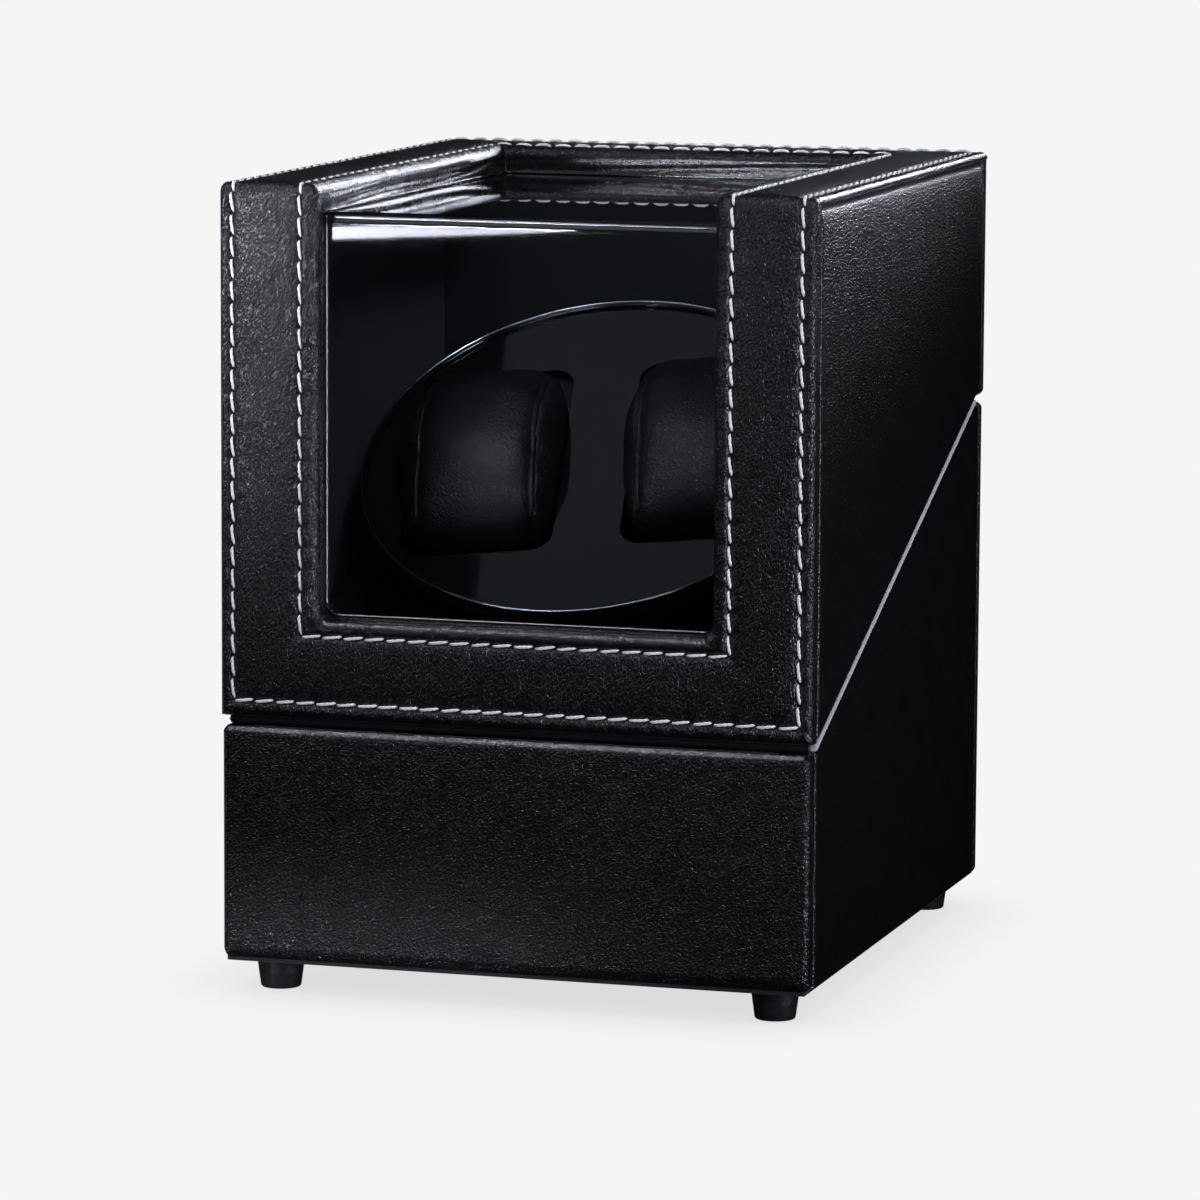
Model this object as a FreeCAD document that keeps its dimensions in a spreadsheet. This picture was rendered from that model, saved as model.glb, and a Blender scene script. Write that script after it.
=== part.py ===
import FreeCAD, Part
import math
import os
import Sketcher
import PartDesign

# Double watch winder box, in millimetres.
#
# A leather-covered box on four small feet.  A slanting seam parts it into a
# base and a lid that hinges at the back.  An L-shaped clear window fills the
# upper front and most of the top of the lid.  Inside, a tilted turntable with
# two watch pillows is turned through a pair of gears by a geared motor.
#
# Frame: +Z up, +Y from the front to the back, +X to the right as seen from the
# front, origin at the middle of the footprint on the floor.  The lengths in
# the helper calls below count from the front left lower corner of the box.

V = FreeCAD.Vector
Rot = FreeCAD.Rotation

doc = FreeCAD.newDocument("watch_winder_box")
sheet = doc.addObject("Spreadsheet::Sheet", "Dims")

DIMS = [
    # outside of the box
    ("box_w", 150.0),
    ("box_d", 176.0),
    ("box_h", 200.0),
    ("y_mid", 90.4),
    ("foot_h", 8.0),
    ("foot_top_r", 6.0),
    ("foot_low_r", 5.0),
    ("foot_in_x", 11.5),
    ("foot_in_y", 12.0),
    # boards and coverings
    ("skin", 1.0),
    ("base_in", 0.4),
    ("lid_board", 6.0),
    ("side_board", 7.0),
    ("base_board", 7.0),
    ("floor_board", 6.0),
    ("liner", 3.0),
    # seam between base and lid
    ("base_front_z", 66.8),
    ("lid_front_z", 69.2),
    ("split_ya", 4.0),
    ("split_za", 65.67),
    ("split_yb", 168.0),
    ("split_zb", 134.17),
    ("seam_gap", 2.08),
    ("trim_thk", 1.8),
    # window
    ("open_side", 25.0),
    ("open_low", 94.0),
    ("open_back", 151.0),
    ("pane_thk", 2.5),
    ("pane_lap", 6.0),
    ("pane_bend", 6.0),
    # stitch lines
    ("thread_w", 0.9),
    ("thread_t", 0.35),
    ("stitch_out", 3.3),
    ("stitch_in", 20.7),
    # turntable
    ("disc_r", 60.0),
    ("disc_thk", 3.0),
    ("rim_up", 1.0),
    ("rim_w", 1.6),
    ("disc_cy", 70.4),
    ("disc_cz", 128.6),
    ("tilt_deg", 34.3),
    ("spin_deg", 9.0),
    ("well_ua", 8.5),
    ("well_ub", 47.5),
    ("well_v", 35.0),
    ("cup_wall", 1.5),
    ("cup_depth", 19.0),
    ("cup_arc", 43.6),
    ("pillow_gap", 0.6),
    ("pillow_top", 19.0),
    ("pillow_v", 33.5),
    # drive
    ("hub_r", 6.8),
    ("shaft_r", 3.0),
    ("run_gap", 0.04),
    ("pod_r", 29.0),
    ("pod_wall", 2.0),
    ("pod_top", 23.0),
    ("pod_low", 68.0),
    ("gear_mod", 0.6),
    ("gear_teeth", 48.0),
    ("pinion_teeth", 16.0),
    ("gear_gap", 0.05),
    ("motor_off", 13.0),
    ("head_r", 12.0),
    ("can_r", 10.5),
    # deck
    ("deck_thk", 3.0),
    ("deck_drop", 12.0),
    ("collar_r", 40.0),
    ("collar_h", 5.0),
    # rear controls
    ("tray_xa", 45.0),
    ("tray_xb", 105.0),
    ("tray_za", 40.0),
    ("tray_zb", 70.0),
    ("tray_wall", 1.5),
    ("tray_floor_y", 164.5),
    ("tray_lip", 3.0),
    ("lip_thk", 1.2),
    ("knob_r", 8.0),
    ("knob_h", 7.0),
    # hinges
    ("hinge_xa", 35.0),
    ("hinge_xb", 115.0),
    ("hinge_half", 12.0),
    ("leaf_thk", 1.2),
    ("leaf_h", 14.0),
    ("barrel_r", 2.4),
    ("pin_r", 1.2),
    ("magnet_r", 2.4),
    ("magnet_h", 4.0),
    ("magnet_x", 45.0),
]


class Q:
    """A number together with the sheet expression that gives it."""

    def __init__(self, n, e):
        self.n = float(n)
        self.e = e

    def __add__(self, o):
        o = q(o)
        return Q(self.n + o.n, "(%s + %s)" % (self.e, o.e))

    def __radd__(self, o):
        return q(o) + self

    def __sub__(self, o):
        o = q(o)
        return Q(self.n - o.n, "(%s - %s)" % (self.e, o.e))

    def __rsub__(self, o):
        return q(o) - self

    def __mul__(self, o):
        o = q(o)
        return Q(self.n * o.n, "(%s * %s)" % (self.e, o.e))

    def __rmul__(self, o):
        return q(o) * self

    def __truediv__(self, o):
        o = q(o)
        return Q(self.n / o.n, "(%s / %s)" % (self.e, o.e))

    def __neg__(self):
        return Q(-self.n, "(0 - %s)" % self.e)


def q(v):
    if isinstance(v, Q):
        return v
    if v < 0:
        return Q(v, "(0 - %.6f)" % -v)
    return Q(v, "%.6f" % v)


class Bag:
    pass


d = Bag()
for row, (word, number) in enumerate(DIMS, 1):
    sheet.set("A%d" % row, word)
    sheet.set("B%d" % row, "%g" % number)
    sheet.setAlias("B%d" % row, word)
    setattr(d, word, Q(number, "Dims." + word))
doc.recompute()

NODES = []


def node(obj, label):
    obj.Label = label
    NODES.append(obj)
    return obj


def bind(obj, prop, v):
    obj.setExpression(prop, q(v).e)


def at(obj, x, y, z, rot=None):
    """Place obj at box coordinates."""
    x, y, z = q(x) - d.box_w / 2, q(y) - d.y_mid, q(z)
    obj.Placement = FreeCAD.Placement(V(x.n, y.n, z.n), rot or Rot())
    bind(obj, "Placement.Base.x", x)
    bind(obj, "Placement.Base.y", y)
    bind(obj, "Placement.Base.z", z)
    return obj


COS = Q(math.cos(math.radians(d.tilt_deg.n)), "cos(Dims.tilt_deg * 1 deg)")
SIN = Q(math.sin(math.radians(d.tilt_deg.n)), "sin(Dims.tilt_deg * 1 deg)")
COP = Q(math.cos(math.radians(d.spin_deg.n)), "cos(Dims.spin_deg * 1 deg)")
SIP = Q(math.sin(math.radians(d.spin_deg.n)), "sin(Dims.spin_deg * 1 deg)")
TILT = Rot(V(1, 0, 0), d.tilt_deg.n)
SPIN = Rot(V(0, 0, 1), d.spin_deg.n)


def loc(obj, u, v, w, rot=None, spin=False):
    """Place obj in the turntable's frame: u to the right, v up its slope,
    w along its axis, zero at the middle of its upper face."""
    u, v, w = q(u), q(v), q(w)
    r = rot or Rot()
    if spin:
        u, v = u * COP - v * SIP, u * SIP + v * COP
        r = SPIN.multiply(r)
    x = d.box_w / 2 + u
    y = d.disc_cy + v * COS - w * SIN
    z = d.disc_cz + v * SIN + w * COS
    return at(obj, x, y, z, TILT.multiply(r))


AX = {"x": Rot(V(0, 1, 0), 90), "y": Rot(V(1, 0, 0), -90), "z": Rot()}


def raw_box(name, dx, dy, dz):
    o = doc.addObject("Part::Box", name)
    bind(o, "Length", dx)
    bind(o, "Width", dy)
    bind(o, "Height", dz)
    return o


def box(name, xa, xb, ya, yb, za, zb):
    o = raw_box(name, q(xb) - xa, q(yb) - ya, q(zb) - za)
    return at(o, xa, ya, za)


def lbox(name, ua, ub, va, vb, wa, wb, spin=False):
    o = raw_box(name, q(ub) - ua, q(vb) - va, q(wb) - wa)
    return loc(o, ua, va, wa, None, spin)


def raw_cyl(name, r, h):
    o = doc.addObject("Part::Cylinder", name)
    bind(o, "Radius", r)
    bind(o, "Height", h)
    return o


def cyl(name, r, x, y, z, h, axis="z"):
    return at(raw_cyl(name, r, h), x, y, z, AX[axis])


def lcyl(name, r, u, v, wa, wb, spin=False):
    return loc(raw_cyl(name, r, q(wb) - wa), u, v, wa, None, spin)


def fuse(name, *parts):
    o = doc.addObject("Part::MultiFuse", name)
    o.Shapes = list(parts)
    return o


def cut(name, base, *tools):
    tool = tools[0] if len(tools) == 1 else fuse(name + "_tools", *tools)
    o = doc.addObject("Part::Cut", name)
    o.Base = base
    o.Tool = tool
    return o


def common(name, *parts):
    o = doc.addObject("Part::MultiCommon", name)
    o.Shapes = list(parts)
    return o


def group(name, *parts):
    o = doc.addObject("Part::Compound", name)
    o.Links = list(parts)
    return o


def fillet(name, base, radius, pick):
    """Round those edges of base whose middle point pick() accepts."""
    doc.recompute()
    rows = []
    for i, e in enumerate(base.Shape.Edges, 1):
        m = e.valueAt((e.FirstParameter + e.LastParameter) / 2)
        if pick(e, m):
            rows.append((i, radius, radius))
    o = doc.addObject("Part::Fillet", name)
    o.Base = base
    o.Edges = rows
    return o


def plate(name, role, pts, length, x, y, z, rot=None):
    """A body padded from one closed polygon, its corners tied to the sheet."""
    body = doc.addObject("PartDesign::Body", name)
    sk = body.newObject("Sketcher::SketchObject", name + "_sk")
    plane = [f for f in body.Origin.OriginFeatures if f.Role == role][0]
    sk.AttachmentSupport = [(plane, "")]
    sk.MapMode = "FlatFace"
    pts = [(q(a), q(b)) for a, b in pts]
    n = len(pts)
    for i in range(n):
        a, b = pts[i], pts[(i + 1) % n]
        sk.addGeometry(Part.LineSegment(V(a[0].n, a[1].n, 0), V(b[0].n, b[1].n, 0)), False)
    for i in range(n):
        sk.addConstraint(Sketcher.Constraint("Coincident", i, 2, (i + 1) % n, 1))
    for i in range(n):
        for kind, tag, v in (("DistanceX", "x", pts[i][0]), ("DistanceY", "y", pts[i][1])):
            k = sk.addConstraint(Sketcher.Constraint(kind, -1, 1, i, 1, v.n))
            sk.renameConstraint(k, "%s%d" % (tag, i))
            sk.setExpression("Constraints.%s%d" % (tag, i), v.e)
    pad = body.newObject("PartDesign::Pad", name + "_pad")
    pad.Profile = sk
    bind(pad, "Length", length)
    if role == "XZ_Plane":
        pad.Reversed = True
    at(body, x, y, z, rot)
    return body


W, D, H = d.box_w, d.box_d, d.box_h
slope = (d.split_zb - d.split_za) / (d.split_yb - d.split_ya)
fz = d.foot_h
floor_top = d.foot_h + d.floor_board
bx0, bx1 = d.base_in, W - d.base_in          # outside of the base covering
cx0, cx1 = bx0 + d.skin, bx1 - d.skin        # outside of the base boards
ix0, ix1 = cx0 + d.side_board, cx1 - d.side_board
lx0, lx1 = d.skin, W - d.skin                # outside of the lid boards
jx0, jx1 = lx0 + d.side_board, lx1 - d.side_board
lid_za = d.split_za + d.seam_gap             # lid edge line at split_ya
lid_zb = d.split_zb + d.seam_gap
lid_ya = d.split_ya + (d.lid_front_z - lid_za) / slope


# ---------------------------------------------------------------- base boards
screw_spots = [(d.foot_in_x, d.foot_in_y), (W - d.foot_in_x, d.foot_in_y),
               (d.foot_in_x, D - d.foot_in_y), (W - d.foot_in_x, D - d.foot_in_y)]
node(cut("base_bottom", box("bb0", cx0, cx1, d.skin, D - d.skin, fz, floor_top),
         *[cyl("bb_hole%d" % i, 1.6, x, y, fz - 1, 6.5) for i, (x, y) in enumerate(screw_spots)]),
     "base_bottom_board")

mag_y = d.skin + d.lid_board / 2
node(cut("base_front", box("bf0", ix0, ix1, d.skin, d.skin + d.base_board, floor_top, d.base_front_z),
         *[cyl("bf_mag%d" % i, d.magnet_r + 0.05, x, mag_y, d.base_front_z - d.magnet_h, 10)
           for i, x in enumerate((d.magnet_x, W - d.magnet_x))]),
     "base_front_board")

tray_tool = (d.tray_xa - 0.2, d.tray_xb + 0.2, 150, 190, d.tray_za - 0.2, d.tray_zb + 0.2)
node(cut("base_back", box("bk0", ix0, ix1, D - d.skin - d.base_board, D - d.skin, floor_top, d.split_zb),
         box("bk_tray", *tray_tool)), "base_back_board")

base_side = [(d.skin, floor_top), (D - d.skin, floor_top), (D - d.skin, d.split_zb),
             (d.split_yb, d.split_zb), (d.split_ya, d.split_za), (d.skin, d.split_za)]
node(plate("base_left", "YZ_Plane", base_side, d.side_board, cx0, 0, 0), "base_left_board")
node(plate("base_right", "YZ_Plane", base_side, d.side_board, ix1, 0, 0), "base_right_board")

# upstand that closes the gap behind the lower rail of the lid
node(box("front_lip", ix0 + 0.6, ix1 - 0.6, d.skin + d.base_board, d.skin + d.base_board + d.liner, 57.5, 75.0),
     "base_front_lip")

# ------------------------------------------------------------- base coverings
node(box("base_front_skin", bx0, bx1, 0, d.skin, fz, d.base_front_z), "base_front_leather")
node(cut("base_back_skin", box("bks0", bx0, bx1, D - d.skin, D, fz, d.split_zb),
         box("bks_tray", *tray_tool)), "base_back_leather")
base_cover = [(d.skin, fz)] + [(D - d.skin, fz)] + base_side[2:]
node(plate("base_left_skin", "YZ_Plane", base_cover, d.skin, bx0, 0, 0), "base_left_leather")
node(plate("base_right_skin", "YZ_Plane", base_cover, d.skin, cx1, 0, 0), "base_right_leather")

# pale edging strips lying on the sloping rims of the base
trim = [(d.split_ya, d.split_za), (d.split_yb, d.split_zb),
        (d.split_yb, d.split_zb + d.trim_thk), (d.split_ya, d.split_za + d.trim_thk)]
node(group("trims", plate("trim_l", "YZ_Plane", trim, d.skin + d.side_board, bx0, 0, 0),
           plate("trim_r", "YZ_Plane", trim, d.skin + d.side_board, ix1, 0, 0)), "seam_edging")

# -------------------------------------------------------------------- feet
feet = []
screws = []
for i, (x, y) in enumerate(screw_spots):
    c = doc.addObject("Part::Cone", "foot_cone%d" % i)
    bind(c, "Radius1", d.foot_low_r)
    bind(c, "Radius2", d.foot_top_r)
    bind(c, "Height", d.foot_h)
    at(c, x, y, 0)
    feet.append(cut("foot%d" % i, c, cyl("foot_cb%d" % i, 3.1, x, y, -1, 4.5),
                    cyl("foot_th%d" % i, 1.6, x, y, 2, 10)))
    screws.append(fuse("foot_screw%d" % i, cyl("fs_head%d" % i, 2.9, x, y, 1.3, 2.2),
                       cyl("fs_shank%d" % i, 1.5, x, y, 3.4, 9.6)))
node(group("feet", *feet), "feet")
node(group("foot_screws", *screws), "foot_screws")

# ------------------------------------------------------------------ lid boards
lid_side = [(d.skin, d.lid_front_z), (lid_ya, d.lid_front_z), (d.split_yb, lid_zb),
            (D - d.skin, lid_zb), (D - d.skin, H - d.skin - d.lid_board), (d.skin, H - d.skin - d.lid_board)]
node(plate("lid_left", "YZ_Plane", lid_side, d.side_board, lx0, 0, 0), "lid_left_board")
node(plate("lid_right", "YZ_Plane", lid_side, d.side_board, jx1, 0, 0), "lid_right_board")

top_z = H - d.skin - d.lid_board
oa, ob = d.open_side - d.skin, W - d.open_side + d.skin
front_pts = [(jx0, d.lid_front_z), (jx1, d.lid_front_z), (jx1, top_z), (ob, top_z),
             (ob, d.open_low - d.skin), (oa, d.open_low - d.skin), (oa, top_z), (jx0, top_z)]
lid_front = plate("lid_front", "XZ_Plane", front_pts, d.lid_board, 0, d.skin, 0)
node(cut("lid_front_bored", lid_front,
         *[cyl("lf_mag%d" % i, d.magnet_r + 0.05, x, mag_y, d.lid_front_z - 5, 5 + d.magnet_h)
           for i, x in enumerate((d.magnet_x, W - d.magnet_x))]), "lid_front_frame")
top_pts = [(lx0, d.skin), (oa, d.skin), (oa, d.open_back + d.skin), (ob, d.open_back + d.skin),
           (ob, d.skin), (lx1, d.skin), (lx1, D - d.skin), (lx0, D - d.skin)]
node(plate("lid_top", "XY_Plane", top_pts, d.lid_board, 0, 0, top_z), "lid_top_frame")
node(box("lid_back", jx0, jx1, D - d.skin - d.lid_board, D - d.skin, lid_zb, top_z), "lid_back_board")
node(box("lid_liner", jx0, jx1, d.open_back + 1, d.open_back + 1 + d.liner, 132, top_z), "lid_back_liner")

# --------------------------------------------------------------- lid coverings
def stitch(name, off, low, back):
    """One seam line: up the front, over the top and across the back rail."""
    h = d.thread_w / 2
    xa, xb = off - h, W - off + h
    return fuse(name,
                box(name + "_fl", xa, off + h, 0, d.thread_t, low - h, H),
                box(name + "_fr", W - off - h, xb, 0, d.thread_t, low - h, H),
                box(name + "_fb", xa, xb, 0, d.thread_t, low - h, low + h),
                box(name + "_tl", xa, off + h, 0, back + h, H - d.thread_t, H),
                box(name + "_tr", W - off - h, xb, 0, back + h, H - d.thread_t, H),
                box(name + "_tb", xa, xb, back - h, back + h, H - d.thread_t, H))


st_out = node(stitch("stitch_out_line", d.stitch_out, d.lid_front_z + 4.0, D - d.stitch_out), "stitch_line_outer")
st_in = node(stitch("stitch_in_line", d.stitch_in, d.open_low - 4.3, D - d.stitch_in), "stitch_line_inner")
wrap = cut("lid_wrap", box("lw0", 0, W, 0, D, d.lid_front_z, H),
           box("lw_in", -5, W + 5, d.skin, D - d.skin, 50, H - d.skin),
           box("lw_back", -5, W + 5, 100, D + 5, 50, lid_zb),
           box("lw_front", d.open_side, W - d.open_side, -5, d.skin, d.open_low, H + 5),
           box("lw_top", d.open_side, W - d.open_side, -5, d.open_back, H - d.skin, H + 5))
node(cut("lid_wrap_sewn", wrap, st_out, st_in), "lid_wrap_leather")
lid_cover = lid_side[:4] + [(D - d.skin, H - d.skin), (d.skin, H - d.skin)]
node(plate("lid_left_skin", "YZ_Plane", lid_cover, d.skin, 0, 0, 0), "lid_left_leather")
node(plate("lid_right_skin", "YZ_Plane", lid_cover, d.skin, lx1, 0, 0), "lid_right_leather")

# turned-in covering round the window opening
fy = d.skin + d.lid_board
node(cut("reveal", fuse("reveal_out", box("rv_f", oa, ob, d.skin, fy, d.open_low - d.skin, H - d.skin),
                        box("rv_t", oa, ob, d.skin, d.open_back + d.skin, top_z, H - d.skin)),
         box("rv_fi", d.open_side, W - d.open_side, -5, fy + 5, d.open_low, H + 5),
         box("rv_ti", d.open_side, W - d.open_side, -5, d.open_back, top_z - 5, H + 5)), "window_reveal_leather")

# clear window: one sheet bent over the front top edge
pa, pb = d.open_side - d.pane_lap, W - d.open_side + d.pane_lap
pane_pts = [(fy, d.open_low - d.pane_lap), (fy, top_z), (d.open_back + 0.6, top_z),
            (d.open_back + 0.6, top_z - d.pane_thk), (fy + d.pane_thk, top_z - d.pane_thk),
            (fy + d.pane_thk, d.open_low - d.pane_lap)]
pane = plate("pane", "YZ_Plane", pane_pts, pb - pa, pa, 0, 0)
yy, zz = fy.n - d.y_mid.n, top_z.n


def bend_edge(y, z):
    return lambda e, m: abs(m.y - y) < 0.01 and abs(m.z - z) < 0.01


pane1 = fillet("pane_bend_out", pane, d.pane_bend.n, bend_edge(yy, zz))
node(fillet("pane_bend_in", pane1, d.pane_bend.n - d.pane_thk.n,
            bend_edge(yy + d.pane_thk.n, zz - d.pane_thk.n)), "window_pane")

# ------------------------------------------------------------- magnets, hinges
node(group("mag_base", *[cyl("mag_b%d" % i, d.magnet_r, x, mag_y, d.base_front_z - d.magnet_h, d.magnet_h)
                         for i, x in enumerate((d.magnet_x, W - d.magnet_x))]), "base_magnets")
node(group("mag_lid", *[cyl("mag_l%d" % i, d.magnet_r, x, mag_y, d.lid_front_z, d.magnet_h)
                        for i, x in enumerate((d.magnet_x, W - d.magnet_x))]), "lid_magnets")

ay = D + d.barrel_r
az = d.split_zb + d.seam_gap / 2
mid = 5.0
base_leaf, lid_leaf, pins, bscrew, lscrew = [], [], [], [], []
for i, hx in enumerate((d.hinge_xa, d.hinge_xb)):
    t = "h%d_" % i
    xa, xb = hx - d.hinge_half, hx + d.hinge_half
    side = d.hinge_half - mid
    bore = cyl(t + "bore", d.pin_r + d.run_gap, xa - 1, ay, az, d.hinge_half * 2 + 2, "x")
    base_leaf.append(cut(t + "base", fuse(
        t + "base_f", box(t + "bp", xa, xb, D, D + d.leaf_thk, az - d.leaf_h, az - 0.2),
        cyl(t + "bk1", d.barrel_r, xa, ay, az, side, "x"),
        cyl(t + "bk2", d.barrel_r, hx + mid, ay, az, side, "x")),
        cyl(t + "bclr", d.barrel_r + 0.4, hx - mid, ay, az, 2 * mid, "x"), bore))
    lid_leaf.append(cut(t + "lid", fuse(
        t + "lid_f", box(t + "lp", xa, xb, D, D + d.leaf_thk, az + 0.2, az + d.leaf_h),
        cyl(t + "lk", d.barrel_r, hx - mid + 0.3, ay, az, 2 * mid - 0.6, "x")),
        cyl(t + "lclr1", d.barrel_r + 0.4, xa - 1, ay, az, side + 1.3, "x"),
        cyl(t + "lclr2", d.barrel_r + 0.4, hx + mid - 0.3, ay, az, side + 1.3, "x"), bore))
    pins.append(cyl(t + "pin", d.pin_r, xa, ay, az, d.hinge_half * 2, "x"))
    for j, dx in enumerate((-7.5, 7.5)):
        for store, zc in ((bscrew, az - 9.0), (lscrew, az + 9.0)):
            s = t + "s%d%d" % (j, len(store))
            store.append(fuse(s + ("b" if store is bscrew else "l"),
                              cyl(s + "h" + str(zc.n), 2.2, hx + dx, D + d.leaf_thk, zc, 0.7, "y"),
                              cyl(s + "k" + str(zc.n), 1.1, hx + dx, D - 6.0, zc, 6.0 + d.leaf_thk, "y")))
node(group("leaf_base", *base_leaf), "hinge_base_leaves")
node(group("leaf_lid", *lid_leaf), "hinge_lid_leaves")
node(group("hinge_pin_set", *pins), "hinge_pins")
node(group("hinge_screw_base", *bscrew), "hinge_screws_base")
node(group("hinge_screw_lid", *lscrew), "hinge_screws_lid")

# ------------------------------------------------------- deck under the turntable
split_angle = math.degrees(math.atan(slope.n))
LEAN = Rot(V(1, 0, 0), split_angle)
cs, sn = math.cos(math.radians(split_angle)), math.sin(math.radians(split_angle))
lean_cos = Q(cs, "(1 / sqrt(1 + %s * %s))" % (slope.e, slope.e))
lean_sin = slope * lean_cos
deck_top = d.split_za + d.seam_gap / 2 - d.deck_drop / lean_cos    # at split_ya
front_in = d.skin + d.base_board
back_in = D - d.skin - d.base_board
deck_y = front_in + 0.3 + d.deck_thk * lean_sin
deck_len = (back_in - 0.5 - deck_y) / lean_cos
deck_z = deck_top + (front_in + 0.3 - d.split_ya) * slope - d.deck_thk * lean_cos
deck = at(raw_box("deck0", ix1 - ix0 - 0.6, deck_len, d.deck_thk), ix0 + 0.3, deck_y, deck_z, LEAN)
node(cut("deck", deck, lcyl("deck_hole", d.pod_r + 1.0, 0, 0, -90, 0)), "deck_panel")
cleat = 6.0
cleats = []
for i, x in enumerate((ix0, ix1 - cleat)):
    c = raw_box("cleat%d" % i, cleat, deck_len - 8, cleat)
    cleats.append(at(c, x, deck_y + cleat * lean_sin + 2.0 * lean_cos, deck_z - cleat * lean_cos + 2.0 * lean_sin, LEAN))
node(group("cleats", *cleats), "deck_cleats")

# collar that trims the hole in the deck and holds the drive housing
meet = (d.disc_cz - deck_top - (d.disc_cy - d.split_ya) * slope) / (COS + slope * SIN)
collar = at(raw_cyl("collar0", d.collar_r, d.collar_h), W / 2, d.disc_cy + meet * SIN,
            d.disc_cz - meet * COS, LEAN)
collar_soft = fillet("collar1", collar, 2.0, lambda e, m: e.Length > 200 and m.z > collar.Placement.Base.z + 1.0
                     and e.Curve.TypeId == "Part::GeomCircle"
                     and e.Curve.Center.z > collar.Placement.Base.z + 2.0)
node(cut("collar", collar_soft, lcyl("collar_bore", d.pod_r + 0.05, 0, 0, -90, 0)), "drive_collar")

# ------------------------------------------------------------------ drive unit
pod_in = d.pod_r - d.pod_wall
node(cut("pod", lcyl("pod0", d.pod_r, 0, 0, -d.pod_low, -d.pod_top),
         lcyl("pod_in", pod_in, 0, 0, -d.pod_low - 1, -d.pod_top - 2.5),
         lcyl("pod_bush", 5.0, 0, 0, -d.pod_low, 0)), "drive_housing")
node(cut("pod_cover", fuse("pod_cover_f", lcyl("pc0", d.pod_r, 0, 0, -d.pod_low - 2, -d.pod_low),
                           lcyl("pc1", pod_in - 0.05, 0, 0, -d.pod_low, -d.pod_low + 2)),
         lcyl("pc_hole", 1.7, -15, 0, -d.pod_low - 5, -d.pod_low + 5)), "housing_cover")
dist = d.gear_mod * (d.gear_teeth + d.pinion_teeth) / 2 + d.gear_gap
node(cut("plate_m", lcyl("mp0", pod_in - 0.05, 0, 0, -37.5, -35),
         lcyl("mp_c", 5.0, 0, 0, -40, -30), lcyl("mp_p", 4.2, 0, dist, -40, -30)), "motor_plate")


def bush(name, wa, wb, fa, fb):
    return cut(name, fuse(name + "_f", lcyl(name + "_s", 4.98, 0, 0, wa, wb), lcyl(name + "_g", 7.0, 0, 0, fa, fb)),
               lcyl(name + "_b", d.shaft_r + d.run_gap, 0, 0, -60, 0))


node(group("bushes", bush("bush_a", -25.5, -23.0, -26.5, -25.5), bush("bush_b", -37.5, -35.0, -35.0, -34.0)),
     "shaft_bushes")
node(cut("head", fuse("head_f", lcyl("gh0", d.head_r, 0, d.motor_off, -52, -37.5), lcyl("gh1", 4.0, 0, dist, -37.5, -34.5)),
         lcyl("gh_b", 1.5 + d.run_gap, 0, dist, -43, 0)), "motor_gearhead")
node(fuse("can", lcyl("mc0", d.can_r, 0, d.motor_off, -62.5, -52), lcyl("mc1", 4.0, 0, d.motor_off, -64, -62.5)),
     "motor_can")

# lead from the motor to the control board
lead = [V(-15, 0, -66), V(-15, 0, -81)]
mat = FreeCAD.Placement(V(0, d.disc_cy.n - d.y_mid.n, d.disc_cz.n), TILT)
route = [mat.multVec(p) for p in lead] + [V(-15, 138 - d.y_mid.n, 52), V(-15, 154 - d.y_mid.n, 52)]
edges = []
here = route[0]
for i in range(1, len(route) - 1):
    a, b, c = route[i - 1], route[i], route[i + 1]
    ua, uc = (a - b).normalize(), (c - b).normalize()
    turn = math.pi - ua.getAngle(uc)
    run = 0.45 * min((a - b).Length, (c - b).Length)
    radius = run / math.tan(turn / 2)
    print("motor lead bend radius %.1f" % radius)
    p1, p2 = b + ua * run, b + uc * run
    axis_in = (ua + uc).normalize()
    centre = b + axis_in * math.sqrt(run * run + radius * radius)
    edges.append(Part.LineSegment(here, p1).toShape())
    edges.append(Part.Arc(p1, centre - axis_in * radius, p2).toShape())
    here = p2
edges.append(Part.LineSegment(here, route[-1]).toShape())
spine = Part.Wire(edges)
ring = Part.Wire([Part.makeCircle(1.5, route[0], route[1] - route[0])])
tube = spine.makePipeShell([ring], True, True)
lead_obj = doc.addObject("Part::Feature", "lead")
lead_obj.Shape = tube
print("motor lead volume %.1f of %.1f" % (tube.Volume, math.pi * 2.25 * spine.Length))
node(lead_obj, "motor_lead")


def gear_shape(mod, teeth, width, bore, start):
    """Involute spur gear, pressure angle 25 degrees, with running backlash."""
    pa_ = math.radians(25)
    r = mod * teeth / 2
    rb, ra, rf = r * math.cos(pa_), r + mod * 0.95, r - mod * 1.25
    inv = math.tan(pa_) - pa_
    half = math.pi / (2 * teeth) - 0.05 / r
    lo = max(rb, rf)
    flank = []
    for k in range(6):
        rho = lo + (ra - lo) * k / 5
        ph = math.acos(min(1.0, rb / rho))
        flank.append((rho, half + inv - (math.tan(ph) - ph)))
    pts = []
    for t in range(teeth):
        c = math.radians(start) + 2 * math.pi * t / teeth
        side = [(rf, flank[0][1])] if rf < lo - 1e-6 else []
        side += flank
        for rho, a in side:
            pts.append(V(rho * math.cos(c - a), rho * math.sin(c - a), 0))
        for rho, a in reversed(side):
            pts.append(V(rho * math.cos(c + a), rho * math.sin(c + a), 0))
    face = Part.Face(Part.makePolygon(pts + [pts[0]]))
    s = face.extrude(V(0, 0, width))
    if bore:
        s = s.cut(Part.makeCylinder(bore, width + 2, V(0, 0, -1)))
    return s


nt, np_ = int(d.gear_teeth.n), int(d.pinion_teeth.n)
gear = doc.addObject("Part::Feature", "big_gear")
gear.Shape = gear_shape(d.gear_mod.n, nt, 4.5, d.shaft_r.n, 90.0)
node(loc(gear, 0, 0, -33.0), "turntable_gear")

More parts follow.
